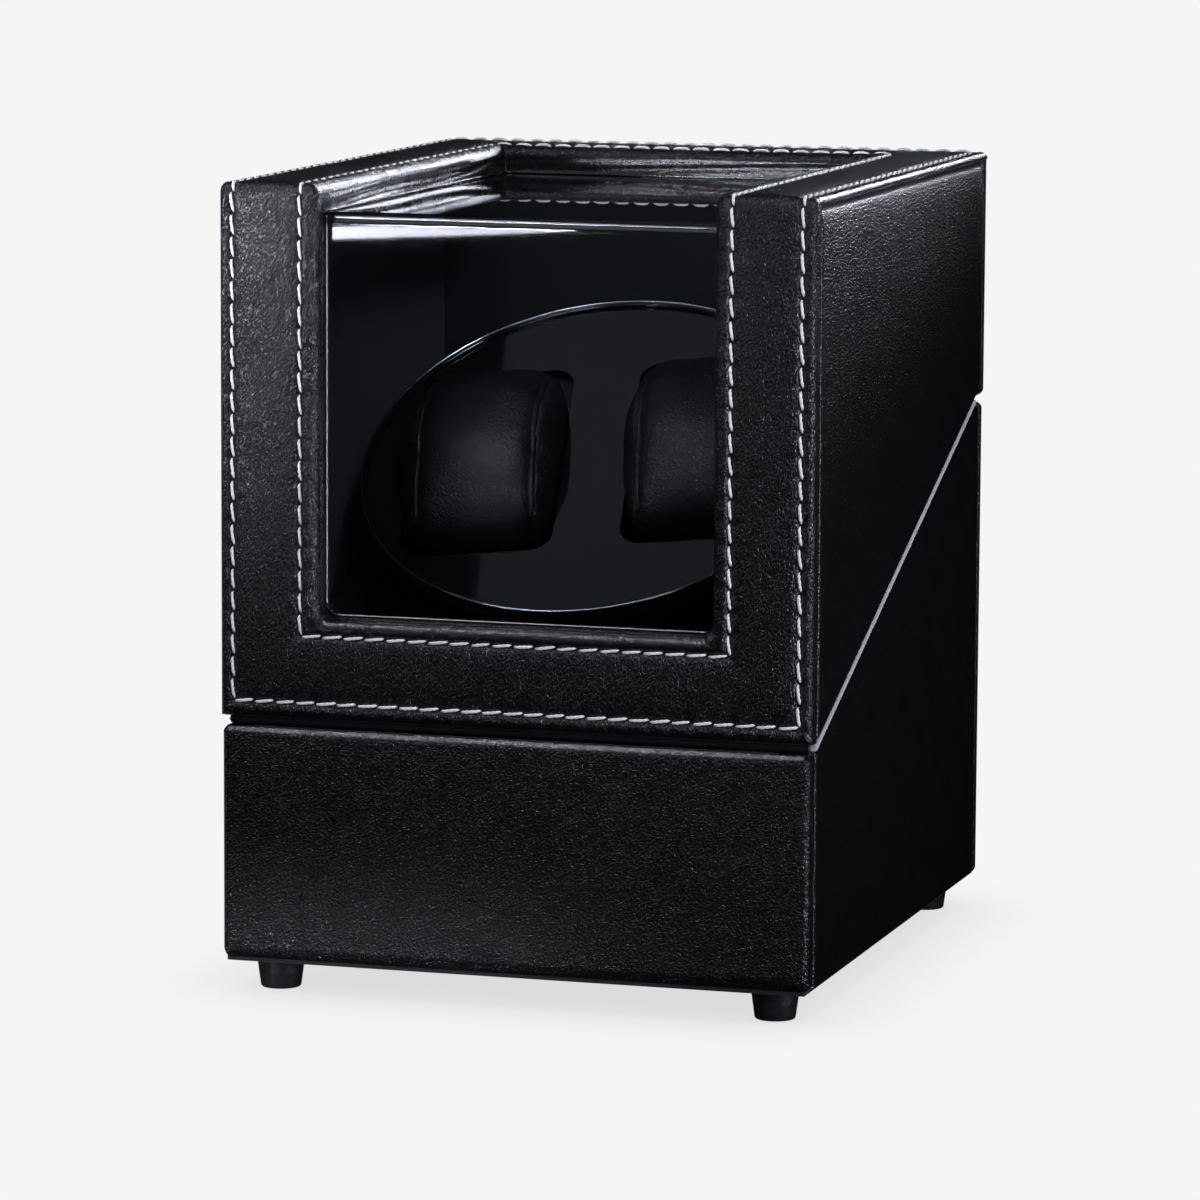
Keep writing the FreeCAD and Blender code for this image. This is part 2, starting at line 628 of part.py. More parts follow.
# pinion with its spindle, toothed on the side that faces the big gear
pin_s = gear_shape(d.gear_mod.n, np_, 5.1, 0, -90.0 + 180.0 / np_)
pin_s = pin_s.fuse(Part.makeCylinder(1.5, 9.3, V(0, 0, -9.2)))
pinion = doc.addObject("Part::Feature", "small_gear")
pinion.Shape = pin_s.removeSplitter()
node(loc(pinion, 0, dist, -33.3), "drive_pinion")

node(lcyl("shaft", d.shaft_r, 0, 0, -37.0, -6), "turntable_shaft")
node(cut("hub", lcyl("hub0", d.hub_r, 0, 0, -d.pod_top + 0.3, -d.disc_thk),
         lcyl("hub_bore", d.shaft_r, 0, 0, -30, -6)), "turntable_hub")


# ------------------------------------------------------------------- turntable
def well(name, ua, ub):
    b = lbox(name, ua, ub, -d.well_v, d.well_v, -10, 10, True)
    nrm = loc(raw_cyl(name + "_ax", 1, 1), 0, 0, 0).Placement.Rotation.multVec(V(0, 0, 1))
    doc.removeObject(name + "_ax")
    return fillet(name + "_r", b, 6.0, lambda e, m: abs(e.tangentAt(e.FirstParameter).dot(nrm)) > 0.99)


disc0 = fuse("disc_f", lcyl("disc0", d.disc_r, 0, 0, -d.disc_thk, 0),
             lcyl("disc_rim", d.disc_r, 0, 0, 0, d.rim_up))
disc1 = cut("disc_c", disc0, lcyl("disc_dish", d.disc_r - d.rim_w, 0, 0, 0, 5),
            well("well_r", d.well_ua, d.well_ub), well("well_l", -d.well_ub, -d.well_ua))
up = TILT.multVec(V(0, 0, 1))
mid_disc = V(0, d.disc_cy.n - d.y_mid.n, d.disc_cz.n)


def rim_edge(e, m):
    return e.Length > 300 and ((m - mid_disc).dot(up) > 0.5 or e.Curve.Radius > d.disc_r.n - 0.1)


node(fillet("disc", disc1, 0.5, rim_edge), "turntable_disc")

cup_c = d.cup_arc - d.cup_depth                 # height of the trough's arc centre


def trough(name, ua, ub, v, wa, arc, top=None):
    b = lbox(name + "_b", ua, ub, -v, v, wa, -d.disc_thk if top is None else top, True)
    c = loc(raw_cyl(name + "_c", arc, q(ub) - ua), ua, 0, cup_c, AX["x"], True)
    return common(name, b, c)


cups = []
for t, s in (("r", 1), ("l", -1)):
    if s > 0:
        a0, a1 = d.well_ua, d.well_ub
    else:
        a0, a1 = -d.well_ub, -d.well_ua
    outer = trough("cup_o" + t, a0 - d.cup_wall, a1 + d.cup_wall, 37.0, -d.cup_depth - 5, d.cup_arc + d.cup_wall)
    inner = trough("cup_i" + t, a0, a1, d.well_v, -d.cup_depth - 5, d.cup_arc, 5)
    cups.append(cut("cup_" + t, outer, inner))
node(group("cups", *cups), "pillow_cups")

for t, s in (("right", 1), ("left", -1)):
    if s > 0:
        a0, a1 = d.well_ua + d.pillow_gap, d.well_ub - d.pillow_gap
    else:
        a0, a1 = -d.well_ub + d.pillow_gap, -d.well_ua - d.pillow_gap
    n = "pil_" + t
    b = lbox(n + "_b", a0, a1, -d.pillow_v, d.pillow_v, -30, 30, True)
    lo = loc(raw_cyl(n + "_lo", d.cup_arc - d.pillow_gap, a1 - a0), a0, 0, cup_c, AX["x"], True)
    up = loc(raw_cyl(n + "_up", d.cup_arc - d.pillow_gap, a1 - a0), a0, 0,
             d.pillow_top - d.cup_arc + d.pillow_gap, AX["x"], True)
    lens = common(n + "_lens", b, lo, up)
    node(fillet(n, lens, 3.0, lambda e, m: True), "pillow_" + t)

# --------------------------------------------------------------- rear controls
ty, tw = d.tray_floor_y, d.tray_wall
tub = fuse("tub_f", box("tub0", d.tray_xa, d.tray_xb, ty, D, d.tray_za, d.tray_zb),
           box("tub_lip", d.tray_xa - d.tray_lip, d.tray_xb + d.tray_lip, D, D + d.lip_thk,
               d.tray_za - d.tray_lip, d.tray_zb + d.tray_lip),
           *[cyl("tub_post%d" % i, 2.5, x, 159.6, z, ty - 159.6, "y")
             for i, (x, z) in enumerate(((50, 44), (100, 44), (50, 66), (100, 66)))])
mz = (d.tray_za + d.tray_zb) / 2
knob_x, jack_x, rock_x = q(75), q(94.5), q(56)
node(cut("tray", tub,
         box("tub_in", d.tray_xa + tw, d.tray_xb - tw, ty + tw, D + 5, d.tray_za + tw, d.tray_zb - tw),
         cyl("tub_kn", 3.5, knob_x, 150, mz, 30, "y"), cyl("tub_jk", 4.6, jack_x, 150, mz, 30, "y"),
         box("tub_rk", rock_x - 7.1, rock_x + 7.1, 160, 170, mz - 6.9, mz + 6.9)), "control_tray")
tscrew = []
for i, (x, z) in enumerate(((d.tray_xa - 1.4, d.tray_za - 1.4), (d.tray_xb + 1.4, d.tray_za - 1.4),
                            (d.tray_xa - 1.4, d.tray_zb + 1.4), (d.tray_xb + 1.4, d.tray_zb + 1.4))):
    tscrew.append(fuse("ts%d" % i, cyl("ts_h%d" % i, 1.3, x, D + d.lip_thk, z, 0.5, "y"),
                       cyl("ts_k%d" % i, 0.7, x, D - 5, z, 5 + d.lip_thk, "y")))
node(group("tray_screw_set", *tscrew), "tray_screws")

node(fuse("pcb", box("pcb0", 46.5, 103.5, 158, 159.6, 40.5, 69.5), box("pcb_ic", 62, 71, 155.8, 158, 58, 66),
          cyl("pcb_cap", 3.2, 84, 151, 62, 7, "y"), box("pcb_plug", 57, 63, 154, 158, 49, 55)), "control_board")
node(cut("rotary", fuse("rot_f", box("rot0", knob_x - 7, knob_x + 7, 159.6, 164.3, mz - 7, mz + 7),
                        cyl("rot1", 3.4, knob_x, 164.3, mz, 2.2, "y")),
         cyl("rot_b", 2.5 + 0.05, knob_x, 160.6, mz, 20, "y")), "mode_switch")
kn0 = fuse("kn_f", cyl("kn0", d.knob_r, knob_x, 167, mz, d.knob_h, "y"),
           cyl("kn1", 2.5, knob_x, 161, mz, 7, "y"))
kn1 = cut("kn_c", kn0, box("kn_mark", knob_x - 0.6, knob_x + 0.6, 167 + d.knob_h - 0.7, 190, mz + 1.5, mz + 20),
          *[cyl("kn_g%d" % i, 0.55, knob_x + (d.knob_r + 0.15) * math.cos(math.radians(a)), 168.5,
                mz + (d.knob_r + 0.15) * math.sin(math.radians(a)), 10, "y")
            for i, a in enumerate(range(10, 370, 20))])
node(kn1, "mode_knob")
node(cut("jack", fuse("jk_f", box("jk0", jack_x - 5.5, jack_x + 5.5, 159.6, 164.3, mz - 5.5, mz + 5.5),
                      cyl("jk1", 4.5, jack_x, 164.3, mz, 2.5, "y")),
         cut("jk_hole", cyl("jk_h0", 2.8, jack_x, 160.6, mz, 20, "y"), cyl("jk_pin", 1.0, jack_x, 160.0, mz, 5.8, "y"))),
     "dc_inlet")
py = q(165.2)
node(cut("rock_frame", fuse("rf_f", box("rf0", rock_x - 7, rock_x + 7, 159.7, 166.0, mz - 6.8, mz + 6.8),
                            box("rf1", rock_x - 8.5, rock_x + 8.5, 166.0, 167.2, mz - 8.3, mz + 8.3)),
         box("rf_in", rock_x - 5.6, rock_x + 5.6, 161, 180, mz - 5.7, mz + 5.7),
         cyl("rf_pivot", 0.7, rock_x - 6.6, py, mz, 13.2, "x")), "rocker_frame")
# the rocker lies over to its off side, turned about its pivot
lie = math.radians(-8.0)
ry, rz = q(-2.0), q(-4.9)
rock = at(raw_box("rk0", 10.4, 5.4, 9.8), rock_x - 5.2, py + ry * math.cos(lie) - rz * math.sin(lie),
          mz + ry * math.sin(lie) + rz * math.cos(lie), Rot(V(1, 0, 0), -8.0))
rock_mid = V(0, py.n - d.y_mid.n, mz.n)
rock_out = V(0, math.cos(lie), math.sin(lie))
rock_soft = fillet("rk_soft", rock, 0.7, lambda e, m: (m - rock_mid).dot(rock_out) > 3.3)
node(fuse("rk", rock_soft, cyl("rk_pin", 0.6, rock_x - 6.3, py, mz, 12.6, "x")), "power_rocker")

# -------------------------------------------------------------- test and write
doc.recompute()
bad = []
for o in doc.Objects:
    if "Invalid" in o.State or "Error" in o.State:
        bad.append("%s: %s" % (o.Name, o.State))
for o in NODES:
    s = o.Shape
    if s.isNull() or not s.isValid() or not s.Solids:
        bad.append("%s: bad shape" % o.Label)
if bad:
    raise RuntimeError("; ".join(bad))
if len({o.Label for o in NODES}) != len(NODES) or len(NODES) > 60:
    raise RuntimeError("labels: %d" % len(NODES))

os.makedirs("parts", exist_ok=True)
for name in os.listdir("parts"):
    if name.endswith(".step"):
        os.remove(os.path.join("parts", name))
whole = FreeCAD.BoundBox()
for o in NODES:
    o.Shape.exportStep("parts/%s.step" % o.Label)
    whole.add(o.Shape.BoundBox)
    print("%-24s solids %2d volume %10.1f" % (o.Label, len(o.Shape.Solids), o.Shape.Volume))
print(len(NODES), "nodes", whole)
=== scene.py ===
import math

import bmesh
import bpy
import numpy as np
from mathutils import Matrix, Vector, noise
from mathutils.bvhtree import BVHTree


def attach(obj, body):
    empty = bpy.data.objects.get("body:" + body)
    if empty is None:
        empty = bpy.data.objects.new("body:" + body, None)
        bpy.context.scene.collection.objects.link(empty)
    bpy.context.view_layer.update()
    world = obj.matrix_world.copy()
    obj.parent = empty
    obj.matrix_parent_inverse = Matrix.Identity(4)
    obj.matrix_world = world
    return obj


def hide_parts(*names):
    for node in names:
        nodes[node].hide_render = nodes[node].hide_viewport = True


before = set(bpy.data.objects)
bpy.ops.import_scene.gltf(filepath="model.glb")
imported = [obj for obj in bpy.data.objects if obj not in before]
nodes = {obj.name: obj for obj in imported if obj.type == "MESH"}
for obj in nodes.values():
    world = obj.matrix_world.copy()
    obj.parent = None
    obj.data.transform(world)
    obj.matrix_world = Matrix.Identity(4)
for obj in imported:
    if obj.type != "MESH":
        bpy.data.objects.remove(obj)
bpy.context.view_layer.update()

MM = 0.001
SHIFT = np.array([75.0, 90.4, 0.0])      # box millimetres -> row frame
WID, DEP, TOP = 150.0, 176.0, 200.0
scene = bpy.context.scene


def row(p):
    return (np.asarray(p, float) - SHIFT) * MM


# =============================================================== materials
class Mat:
    """A material whose tree ends in one Principled shader."""

    def __init__(self, name, colour=(0.5, 0.5, 0.5), rough=0.5, metal=0.0):
        self.m = bpy.data.materials.new(name)
        self.m.use_nodes = True
        self.t = self.m.node_tree
        self.t.nodes.clear()
        self.out = self.add("ShaderNodeOutputMaterial")
        self.b = self.add("ShaderNodeBsdfPrincipled")
        self.link(self.b.outputs[0], self.out.inputs["Surface"])
        self.put("Base Color", (*colour, 1.0))
        self.put("Roughness", rough)
        self.put("Metallic", metal)
        self._co = None

    def add(self, kind, **kw):
        n = self.t.nodes.new(kind)
        for k, v in kw.items():
            setattr(n, k, v)
        return n

    def link(self, a, b):
        self.t.links.new(a, b)

    def put(self, socket, value):
        s = self.b.inputs[socket]
        if isinstance(value, (int, float, tuple)):
            s.default_value = value
        else:
            self.link(value, s)

    def co(self):
        if self._co is None:
            self._co = self.add("ShaderNodeTexCoord").outputs["Object"]
        return self._co

    def mapped(self, scale=(1, 1, 1), rot=(0, 0, 0), loc=(0, 0, 0)):
        n = self.add("ShaderNodeMapping")
        n.inputs["Scale"].default_value = scale
        n.inputs["Rotation"].default_value = rot
        n.inputs["Location"].default_value = loc
        self.link(self.co(), n.inputs["Vector"])
        return n.outputs[0]

    def turned(self, rot, run, loc):
        """Coordinates turned first and then drawn out along the turned axes."""
        n = self.add("ShaderNodeMapping", vector_type="TEXTURE")
        n.inputs["Scale"].default_value = run
        n.inputs["Rotation"].default_value = rot
        n.inputs["Location"].default_value = loc
        self.link(self.co(), n.inputs["Vector"])
        return n.outputs[0]

    def noise(self, scale, detail=2.0, rough=0.5, dist=0.0, vec=None):
        n = self.add("ShaderNodeTexNoise")
        n.inputs["Scale"].default_value = scale
        n.inputs["Detail"].default_value = detail
        n.inputs["Roughness"].default_value = rough
        n.inputs["Distortion"].default_value = dist
        self.link(vec or self.co(), n.inputs["Vector"])
        return n.outputs["Fac"]

    def voronoi(self, scale, feature="F1", vec=None, rnd=1.0):
        n = self.add("ShaderNodeTexVoronoi", feature=feature)
        n.inputs["Scale"].default_value = scale
        n.inputs["Randomness"].default_value = rnd
        self.link(vec or self.co(), n.inputs["Vector"])
        return n.outputs["Distance"]

    def maths(self, op, a, b=0.0, c=0.0):
        n = self.add("ShaderNodeMath", operation=op)
        for i, v in enumerate((a, b, c)):
            if isinstance(v, (int, float)):
                n.inputs[i].default_value = v
            else:
                self.link(v, n.inputs[i])
        return n.outputs[0]

    def span(self, v, a, b, c, d, kind="SMOOTHSTEP"):
        n = self.add("ShaderNodeMapRange", interpolation_type=kind)
        self.link(v, n.inputs["Value"])
        for k, x in (("From Min", a), ("From Max", b), ("To Min", c), ("To Max", d)):
            n.inputs[k].default_value = x
        return n.outputs["Result"]

    def blend(self, fac, ca, cb):
        n = self.add("ShaderNodeMix", data_type="RGBA")
        self.link(fac, n.inputs["Factor"])
        for i, c in ((6, ca), (7, cb)):
            if isinstance(c, tuple):
                n.inputs[i].default_value = (*c, 1.0)
            else:
                self.link(c, n.inputs[i])
        return n.outputs[2]

    def bump(self, height, strength, distance, normal=None):
        n = self.add("ShaderNodeBump")
        n.inputs["Strength"].default_value = strength
        n.inputs["Distance"].default_value = distance
        self.link(height, n.inputs["Height"])
        if normal is not None:
            self.link(normal, n.inputs["Normal"])
        return n.outputs[0]


def leather(name, turn, seed, run=(2.0, 1.0, 1.0), cell=1050.0, pebble=0.030, ridge=0.030, crease=0.050, wave=0.10, slack=0.060,
            dark=(0.0022, 0.0023, 0.0027), light=(0.0060, 0.0062, 0.0072), lo=0.30, hi=0.42):
    """Black coated hide: small pebbles parted by fine valleys, short wrinkles and long slack
    creases that run one way. Heights are in millimetres."""
    m = Mat(name)
    at = (seed * 0.37, seed * 0.11, seed * 0.23)
    off = m.turned(turn, run, at)
    warp = m.noise(420, 2, 0.5, 0.0, off)
    wob = m.add("ShaderNodeVectorMath", operation="MULTIPLY_ADD")
    m.link(warp, wob.inputs[0])
    wob.inputs[1].default_value = (0.0010, 0.0010, 0.0010)
    m.link(off, wob.inputs[2])
    cells = m.voronoi(cell, "DISTANCE_TO_EDGE", wob.outputs[0])
    peb = m.span(cells, 0.0, 0.30, 0.0, 1.0)
    fine = m.noise(2400, 2, 0.6, 0.0, off)
    soft = m.noise(150, 3, 0.55, 0.0, off)
    short = m.noise(0.64 * cell, 2, 0.5, 0.5, m.turned(turn, tuple(1 + (r - 1) * 0.9 for r in run), at))
    rid = m.span(m.maths("ABSOLUTE", m.maths("SUBTRACT", short, 0.5)), 0.0, 0.13, 0.0, 1.0)
    along = m.turned(turn, tuple(1 + (r - 1) * 4.5 for r in run), at)
    cr = m.noise(300, 3, 0.55, 0.6, along)
    line = m.span(m.maths("ABSOLUTE", m.maths("SUBTRACT", cr, 0.5)), 0.0, 0.040, 1.0, 0.0)
    broad = m.noise(95, 2, 0.5, 0.3, along)
    h = m.maths("MULTIPLY", peb, pebble)
    h = m.maths("MULTIPLY_ADD", rid, ridge, h)
    h = m.maths("MULTIPLY_ADD", fine, 0.016, h)
    h = m.maths("MULTIPLY_ADD", soft, slack, h)
    h = m.maths("MULTIPLY_ADD", broad, wave, h)
    h = m.maths("MULTIPLY_ADD", m.maths("MULTIPLY", line, m.span(soft, 0.42, 0.62, 0.0, 1.0)), -crease, h)
    m.put("Normal", m.bump(h, 1.0, 0.001))
    shade = m.maths("MULTIPLY_ADD", peb, 0.55, m.maths("MULTIPLY", soft, 0.45))
    m.put("Base Color", m.blend(shade, dark, light))
    m.put("Roughness", m.span(m.maths("MULTIPLY_ADD", fine, 0.35, m.maths("MULTIPLY", soft, 0.65)), 0.25, 0.75, lo, hi, "LINEAR"))
    m.put("Specular IOR Level", 0.5)
    m.put("IOR", 1.5)
    return m.m


def plain(name, ca, cb, r0, r1, scale=300.0, bump=0.15, dist=0.0001, metal=0.0, spec=0.5, coat=0.0, coat_r=0.1, stretch=None):
    """Moulded or metal surface with faint mottling and a fine bump."""
    m = Mat(name)
    vec = m.mapped(scale=stretch) if stretch else None
    n = m.noise(scale, 4, 0.6, 0.0, vec)
    f = m.noise(scale * 7, 2, 0.5, 0.0, vec)
    m.put("Base Color", m.blend(n, ca, cb))
    m.put("Roughness", m.span(n, 0.3, 0.7, r0, r1, "LINEAR"))
    m.put("Metallic", metal)
    m.put("Specular IOR Level", spec)
    if coat:
        m.put("Coat Weight", coat)
        m.put("Coat Roughness", coat_r)
    m.put("Normal", m.bump(m.maths("MULTIPLY_ADD", f, 0.6, n), bump, dist))
    return m.m


D = math.radians
M = {}
M["frame"] = leather("leather_frame", (0.0, D(-62), 0.0), 3.1, run=(1.9, 1.3, 1.0), cell=1300, pebble=0.110, ridge=0.085, crease=0.12, lo=0.29, hi=0.39)
M["base"] = leather("leather_base", (0.0, D(-36), 0.0), 7.7, run=(1.5, 1.2, 1.0), cell=1300, pebble=0.108, ridge=0.075, crease=0.12, lo=0.25, hi=0.35)
M["side"] = leather("leather_side", (0.0, 0.0, 0.0), 5.3, run=(1.0, 1.8, 1.0), cell=1150, crease=0.02, ridge=0.040, pebble=0.100,
                    dark=(0.0010, 0.0010, 0.0012), light=(0.0030, 0.0031, 0.0036))
M["edge"] = leather("leather_edge", (0.0, D(-36), 0.0), 2.2, run=(1.4, 1.4, 1.0), cell=1300, pebble=0.034, ridge=0.022, crease=0.02, slack=0.03, lo=0.20, hi=0.27)
M["reveal"] = leather("leather_reveal", (0.0, D(20), D(8)), 1.9, run=(1.4, 1.8, 1.0), pebble=0.016, ridge=0.006, crease=0.01, wave=0.03, slack=0.02, lo=0.22, hi=0.32)
M["pillow"] = leather("leather_pillow", (0.2, D(40), 0.4), 9.4, run=(1.5, 1.0, 1.0), cell=1250, pebble=0.040, ridge=0.05, crease=0.08,
                      dark=(0.0035, 0.0035, 0.004), light=(0.010, 0.010, 0.011), lo=0.34, hi=0.5)

t = Mat("thread_white")
tn = t.noise(2200, 3, 0.6)
t.put("Base Color", t.blend(tn, (0.80, 0.79, 0.76), (0.96, 0.955, 0.93)))
t.put("Roughness", t.span(tn, 0.3, 0.7, 0.55, 0.8, "LINEAR"))
t.put("Sheen Weight", 0.25)
t.put("Sheen Roughness", 0.4)
t.put("Normal", t.bump(t.noise(5200, 2, 0.5), 0.35, 0.00008))
M["thread"] = t.m

t = Mat("edging_white")
tn = t.noise(700, 4, 0.65)
ts = t.noise(120, 2, 0.5)
t.put("Base Color", t.blend(t.maths("MULTIPLY_ADD", ts, 0.5, t.maths("MULTIPLY", tn, 0.5)), (0.40, 0.40, 0.40), (0.64, 0.64, 0.64)))
t.put("Roughness", t.span(tn, 0.3, 0.7, 0.32, 0.6, "LINEAR"))
t.put("Normal", t.bump(tn, 0.3, 0.0001))
M["edging"] = t.m

t = Mat("lining_suede")
tn = t.noise(3200, 3, 0.65)
ts = t.noise(60, 3, 0.55)
t.put("Base Color", t.blend(t.maths("MULTIPLY_ADD", tn, 0.6, t.maths("MULTIPLY", ts, 0.4)), (0.010, 0.010, 0.0112), (0.030, 0.030, 0.033)))
t.put("Roughness", t.span(ts, 0.3, 0.7, 0.82, 0.95, "LINEAR"))
t.put("Sheen Weight", 0.35)
t.put("Sheen Roughness", 0.45)
t.put("Sheen Tint", (0.30, 0.32, 0.36, 1.0))
t.put("Specular IOR Level", 0.2)
t.put("Normal", t.bump(tn, 0.5, 0.00012))
M["lining"] = t.m

M["disc"] = plain("disc_gloss", (0.004, 0.004, 0.0045), (0.007, 0.007, 0.008), 0.07, 0.14, 260, 0.04, 0.00005, coat=0.6, coat_r=0.04)
M["rim"] = plain("rim_polished", (0.42, 0.43, 0.45), (0.55, 0.56, 0.58), 0.14, 0.24, 500, 0.05, 0.00005, metal=1.0)
M["bead"] = plain("bead_gloss", (0.004, 0.004, 0.0045), (0.009, 0.009, 0.010), 0.10, 0.2, 400, 0.08, 0.00006, coat=0.5, coat_r=0.06)
M["plastic"] = plain("plastic_black", (0.008, 0.008, 0.009), (0.017, 0.017, 0.018), 0.42, 0.58, 2400, 0.35, 0.00012)
M["plastic_fine"] = plain("plastic_satin", (0.012, 0.012, 0.013), (0.020, 0.020, 0.021), 0.28, 0.4, 1800, 0.15, 0.00006)
M["foot"] = plain("foot_rubber", (0.007, 0.007, 0.0075), (0.016, 0.016, 0.017), 0.30, 0.46, 900, 0.22, 0.00012)
M["cup"] = plain("cup_plastic", (0.006, 0.006, 0.0065), (0.012, 0.012, 0.013), 0.38, 0.52, 1500, 0.25, 0.0001)
M["nickel"] = plain("nickel_brushed", (0.54, 0.53, 0.51), (0.64, 0.63, 0.60), 0.24, 0.34, 4200, 0.06, 0.00003, metal=1.0, stretch=(0.025, 1, 1))
M["steel"] = plain("steel_plain", (0.40, 0.40, 0.41), (0.56, 0.56, 0.57), 0.24, 0.4, 1200, 0.1, 0.00005, metal=1.0)
M["magnet"] = plain("magnet_plated", (0.55, 0.55, 0.56), (0.68, 0.68, 0.69), 0.16, 0.28, 900, 0.06, 0.00005, metal=1.0)
M["gear"] = plain("gear_nylon", (0.62, 0.60, 0.54), (0.72, 0.70, 0.64), 0.42, 0.55, 900, 0.15, 0.00008)
M["brass"] = plain("bush_brass", (0.55, 0.38, 0.16), (0.68, 0.48, 0.22), 0.22, 0.38, 1000, 0.12, 0.00006, metal=1.0)
M["pcb"] = plain("board_green", (0.010, 0.060, 0.025), (0.018, 0.085, 0.038), 0.30, 0.45, 700, 0.15, 0.00006)
M["lead"] = plain("lead_grey", (0.018, 0.018, 0.020), (0.035, 0.035, 0.037), 0.4, 0.55, 900, 0.15, 0.00008)
M["white_ink"] = plain("mark_white", (0.70, 0.70, 0.69), (0.82, 0.82, 0.81), 0.45, 0.6, 1500, 0.08, 0.00004)

pane = bpy.data.materials.new("window_clear")
pane.use_nodes = True
pt = pane.node_tree
pt.nodes.clear()
p_out = pt.nodes.new("ShaderNodeOutputMaterial")
p_mix = pt.nodes.new("ShaderNodeMixShader")
p_see = pt.nodes.new("ShaderNodeBsdfTransparent")
p_see.inputs["Color"].default_value = (0.86, 0.875, 0.89, 1.0)
p_gl = pt.nodes.new("ShaderNodeBsdfGlossy")
p_gl.inputs["Color"].default_value = (0.95, 0.97, 1.0, 1.0)
p_gl.inputs["Roughness"].default_value = 0.015
p_fr = pt.nodes.new("ShaderNodeFresnel")
p_fr.inputs["IOR"].default_value = 1.6
p_geo = pt.nodes.new("ShaderNodeNewGeometry")
p_front = pt.nodes.new("ShaderNodeMath")
p_front.operation = "SUBTRACT"
p_front.inputs[0].default_value = 1.0
pt.links.new(p_geo.outputs["Backfacing"], p_front.inputs[1])
p_fac = pt.nodes.new("ShaderNodeMath")
p_fac.operation = "MULTIPLY"
pt.links.new(p_fr.outputs[0], p_fac.inputs[0])
pt.links.new(p_front.outputs[0], p_fac.inputs[1])
pt.links.new(p_fac.outputs[0], p_mix.inputs[0])
pt.links.new(p_see.outputs[0], p_mix.inputs[1])
pt.links.new(p_gl.outputs[0], p_mix.inputs[2])
pt.links.new(p_mix.outputs[0], p_out.inputs["Surface"])
M["window"] = pane


# ============================================================ mesh helpers
def finish_mesh(name, verts, faces, mat, body, weld=0.0, smooth=True, sharp=None, flat_idx=None):
    """verts in box millimetres."""
    me = bpy.data.meshes.new(name)
    me.from_pydata([tuple(v) for v in row(np.asarray(verts))], [], faces)
    me.validate()
    if weld:
        bm = bmesh.new()
        bm.from_mesh(me)
        bmesh.ops.remove_doubles(bm, verts=bm.verts, dist=weld * MM)
        bmesh.ops.dissolve_degenerate(bm, edges=bm.edges, dist=0.001 * MM)
        loose = [v for v in bm.verts if not v.link_faces]
        bmesh.ops.delete(bm, geom=loose, context="VERTS")
        bm.to_mesh(me)
        bm.free()
    me.polygons.foreach_set("use_smooth", [smooth] * len(me.polygons))
    if sharp is not None and smooth:
        me.set_sharp_from_angle(angle=math.radians(sharp))
    me.materials.append(mat)
    me.update()
    o = bpy.data.objects.new(name, me)
    scene.collection.objects.link(o)
    if body:
        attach(o, body)
    return o


def grid_faces(n_rows, n_cols, start=0, flip=False, wrap=False, skip=None):
    f = []
    for i in range(n_rows - 1):
        for j in range(n_cols if wrap else n_cols - 1):
            if skip and skip(i, j):
                continue
            k = (j + 1) % n_cols
            a, b = start + i * n_cols + j, start + i * n_cols + k
            c, e = start + (i + 1) * n_cols + k, start + (i + 1) * n_cols + j
            f.append((a, e, c, b) if flip else (a, b, c, e))
    return f


def wander(pts, amp, freq, seed=0.0):
    """Slow unevenness, in millimetres, at box points."""
    out = np.empty(len(pts))
    for i, p in enumerate(pts):
        out[i] = noise.noise(Vector((p[0] * freq + seed, p[1] * freq + seed * 1.7, p[2] * freq - seed)))
    return out * amp


def smooth01(x):
    x = np.clip(x, 0.0, 1.0)
    return x * x * (3 - 2 * x)


def tube(path, radius, sides=10, closed=False, twist=0.0, lobes=0.0, caps=True):
    """Round or lobed tube along points (box mm): vertices and faces."""
    pts = [np.asarray(p, float) for p in path]
    n = len(pts)
    tang = []
    for i in range(n):
        a = pts[(i - 1) % n] if (closed or i > 0) else pts[i]
        b = pts[(i + 1) % n] if (closed or i < n - 1) else pts[i]
        v = b - a
        tang.append(v / (np.linalg.norm(v) + 1e-12))
    ref = np.array([0.0, 0.0, 1.0]) if abs(tang[0][2]) < 0.9 else np.array([1.0, 0.0, 0.0])
    u = np.cross(tang[0], ref)
    u /= np.linalg.norm(u)
    verts, faces = [], []
    rad = radius if callable(radius) else (lambda i: radius)
    run = 0.0
    for i in range(n):
        u = u - tang[i] * np.dot(u, tang[i])
        u /= np.linalg.norm(u)
        w = np.cross(tang[i], u)
        if i:
            run += np.linalg.norm(pts[i] - pts[i - 1])
        for k in range(sides):
            a = 2 * math.pi * k / sides
            r = rad(i) * (1 + lobes * math.cos(2 * (a - twist * run)))
            verts.append(pts[i] + (u * math.cos(a) + w * math.sin(a)) * r)
    for i in range(n if closed else n - 1):
        j = (i + 1) % n
        for k in range(sides):
            l = (k + 1) % sides
            faces.append((i * sides + k, i * sides + l, j * sides + l, j * sides + k))
    if caps and not closed:
        faces.append(tuple(range(sides - 1, -1, -1)))
        faces.append(tuple((n - 1) * sides + k for k in range(sides)))
    return verts, faces


def arc_pts(c, r, a0, a1, n, plane):
    """Points of an arc; plane maps (cos, sin) offsets to 3D."""
    out = []
    for i in range(n + 1):
        a = math.radians(a0 + (a1 - a0) * i / n)
        out.append(plane(c, r * math.cos(a), r * math.sin(a)))
    return out


# ================================================= lid: framed leather cover
LOW = 69.2                 # lower edge of the lid's front
BEND = 2.6                 # roll of the cover over the top front edge
RO = 1.5                   # roll at the outer edges
OUT_S, IN_S = 3.3, 20.7    # seam lines from the outer edge
PITCH = 5.4
RC = 3.6                   # rounding of the lower window corners


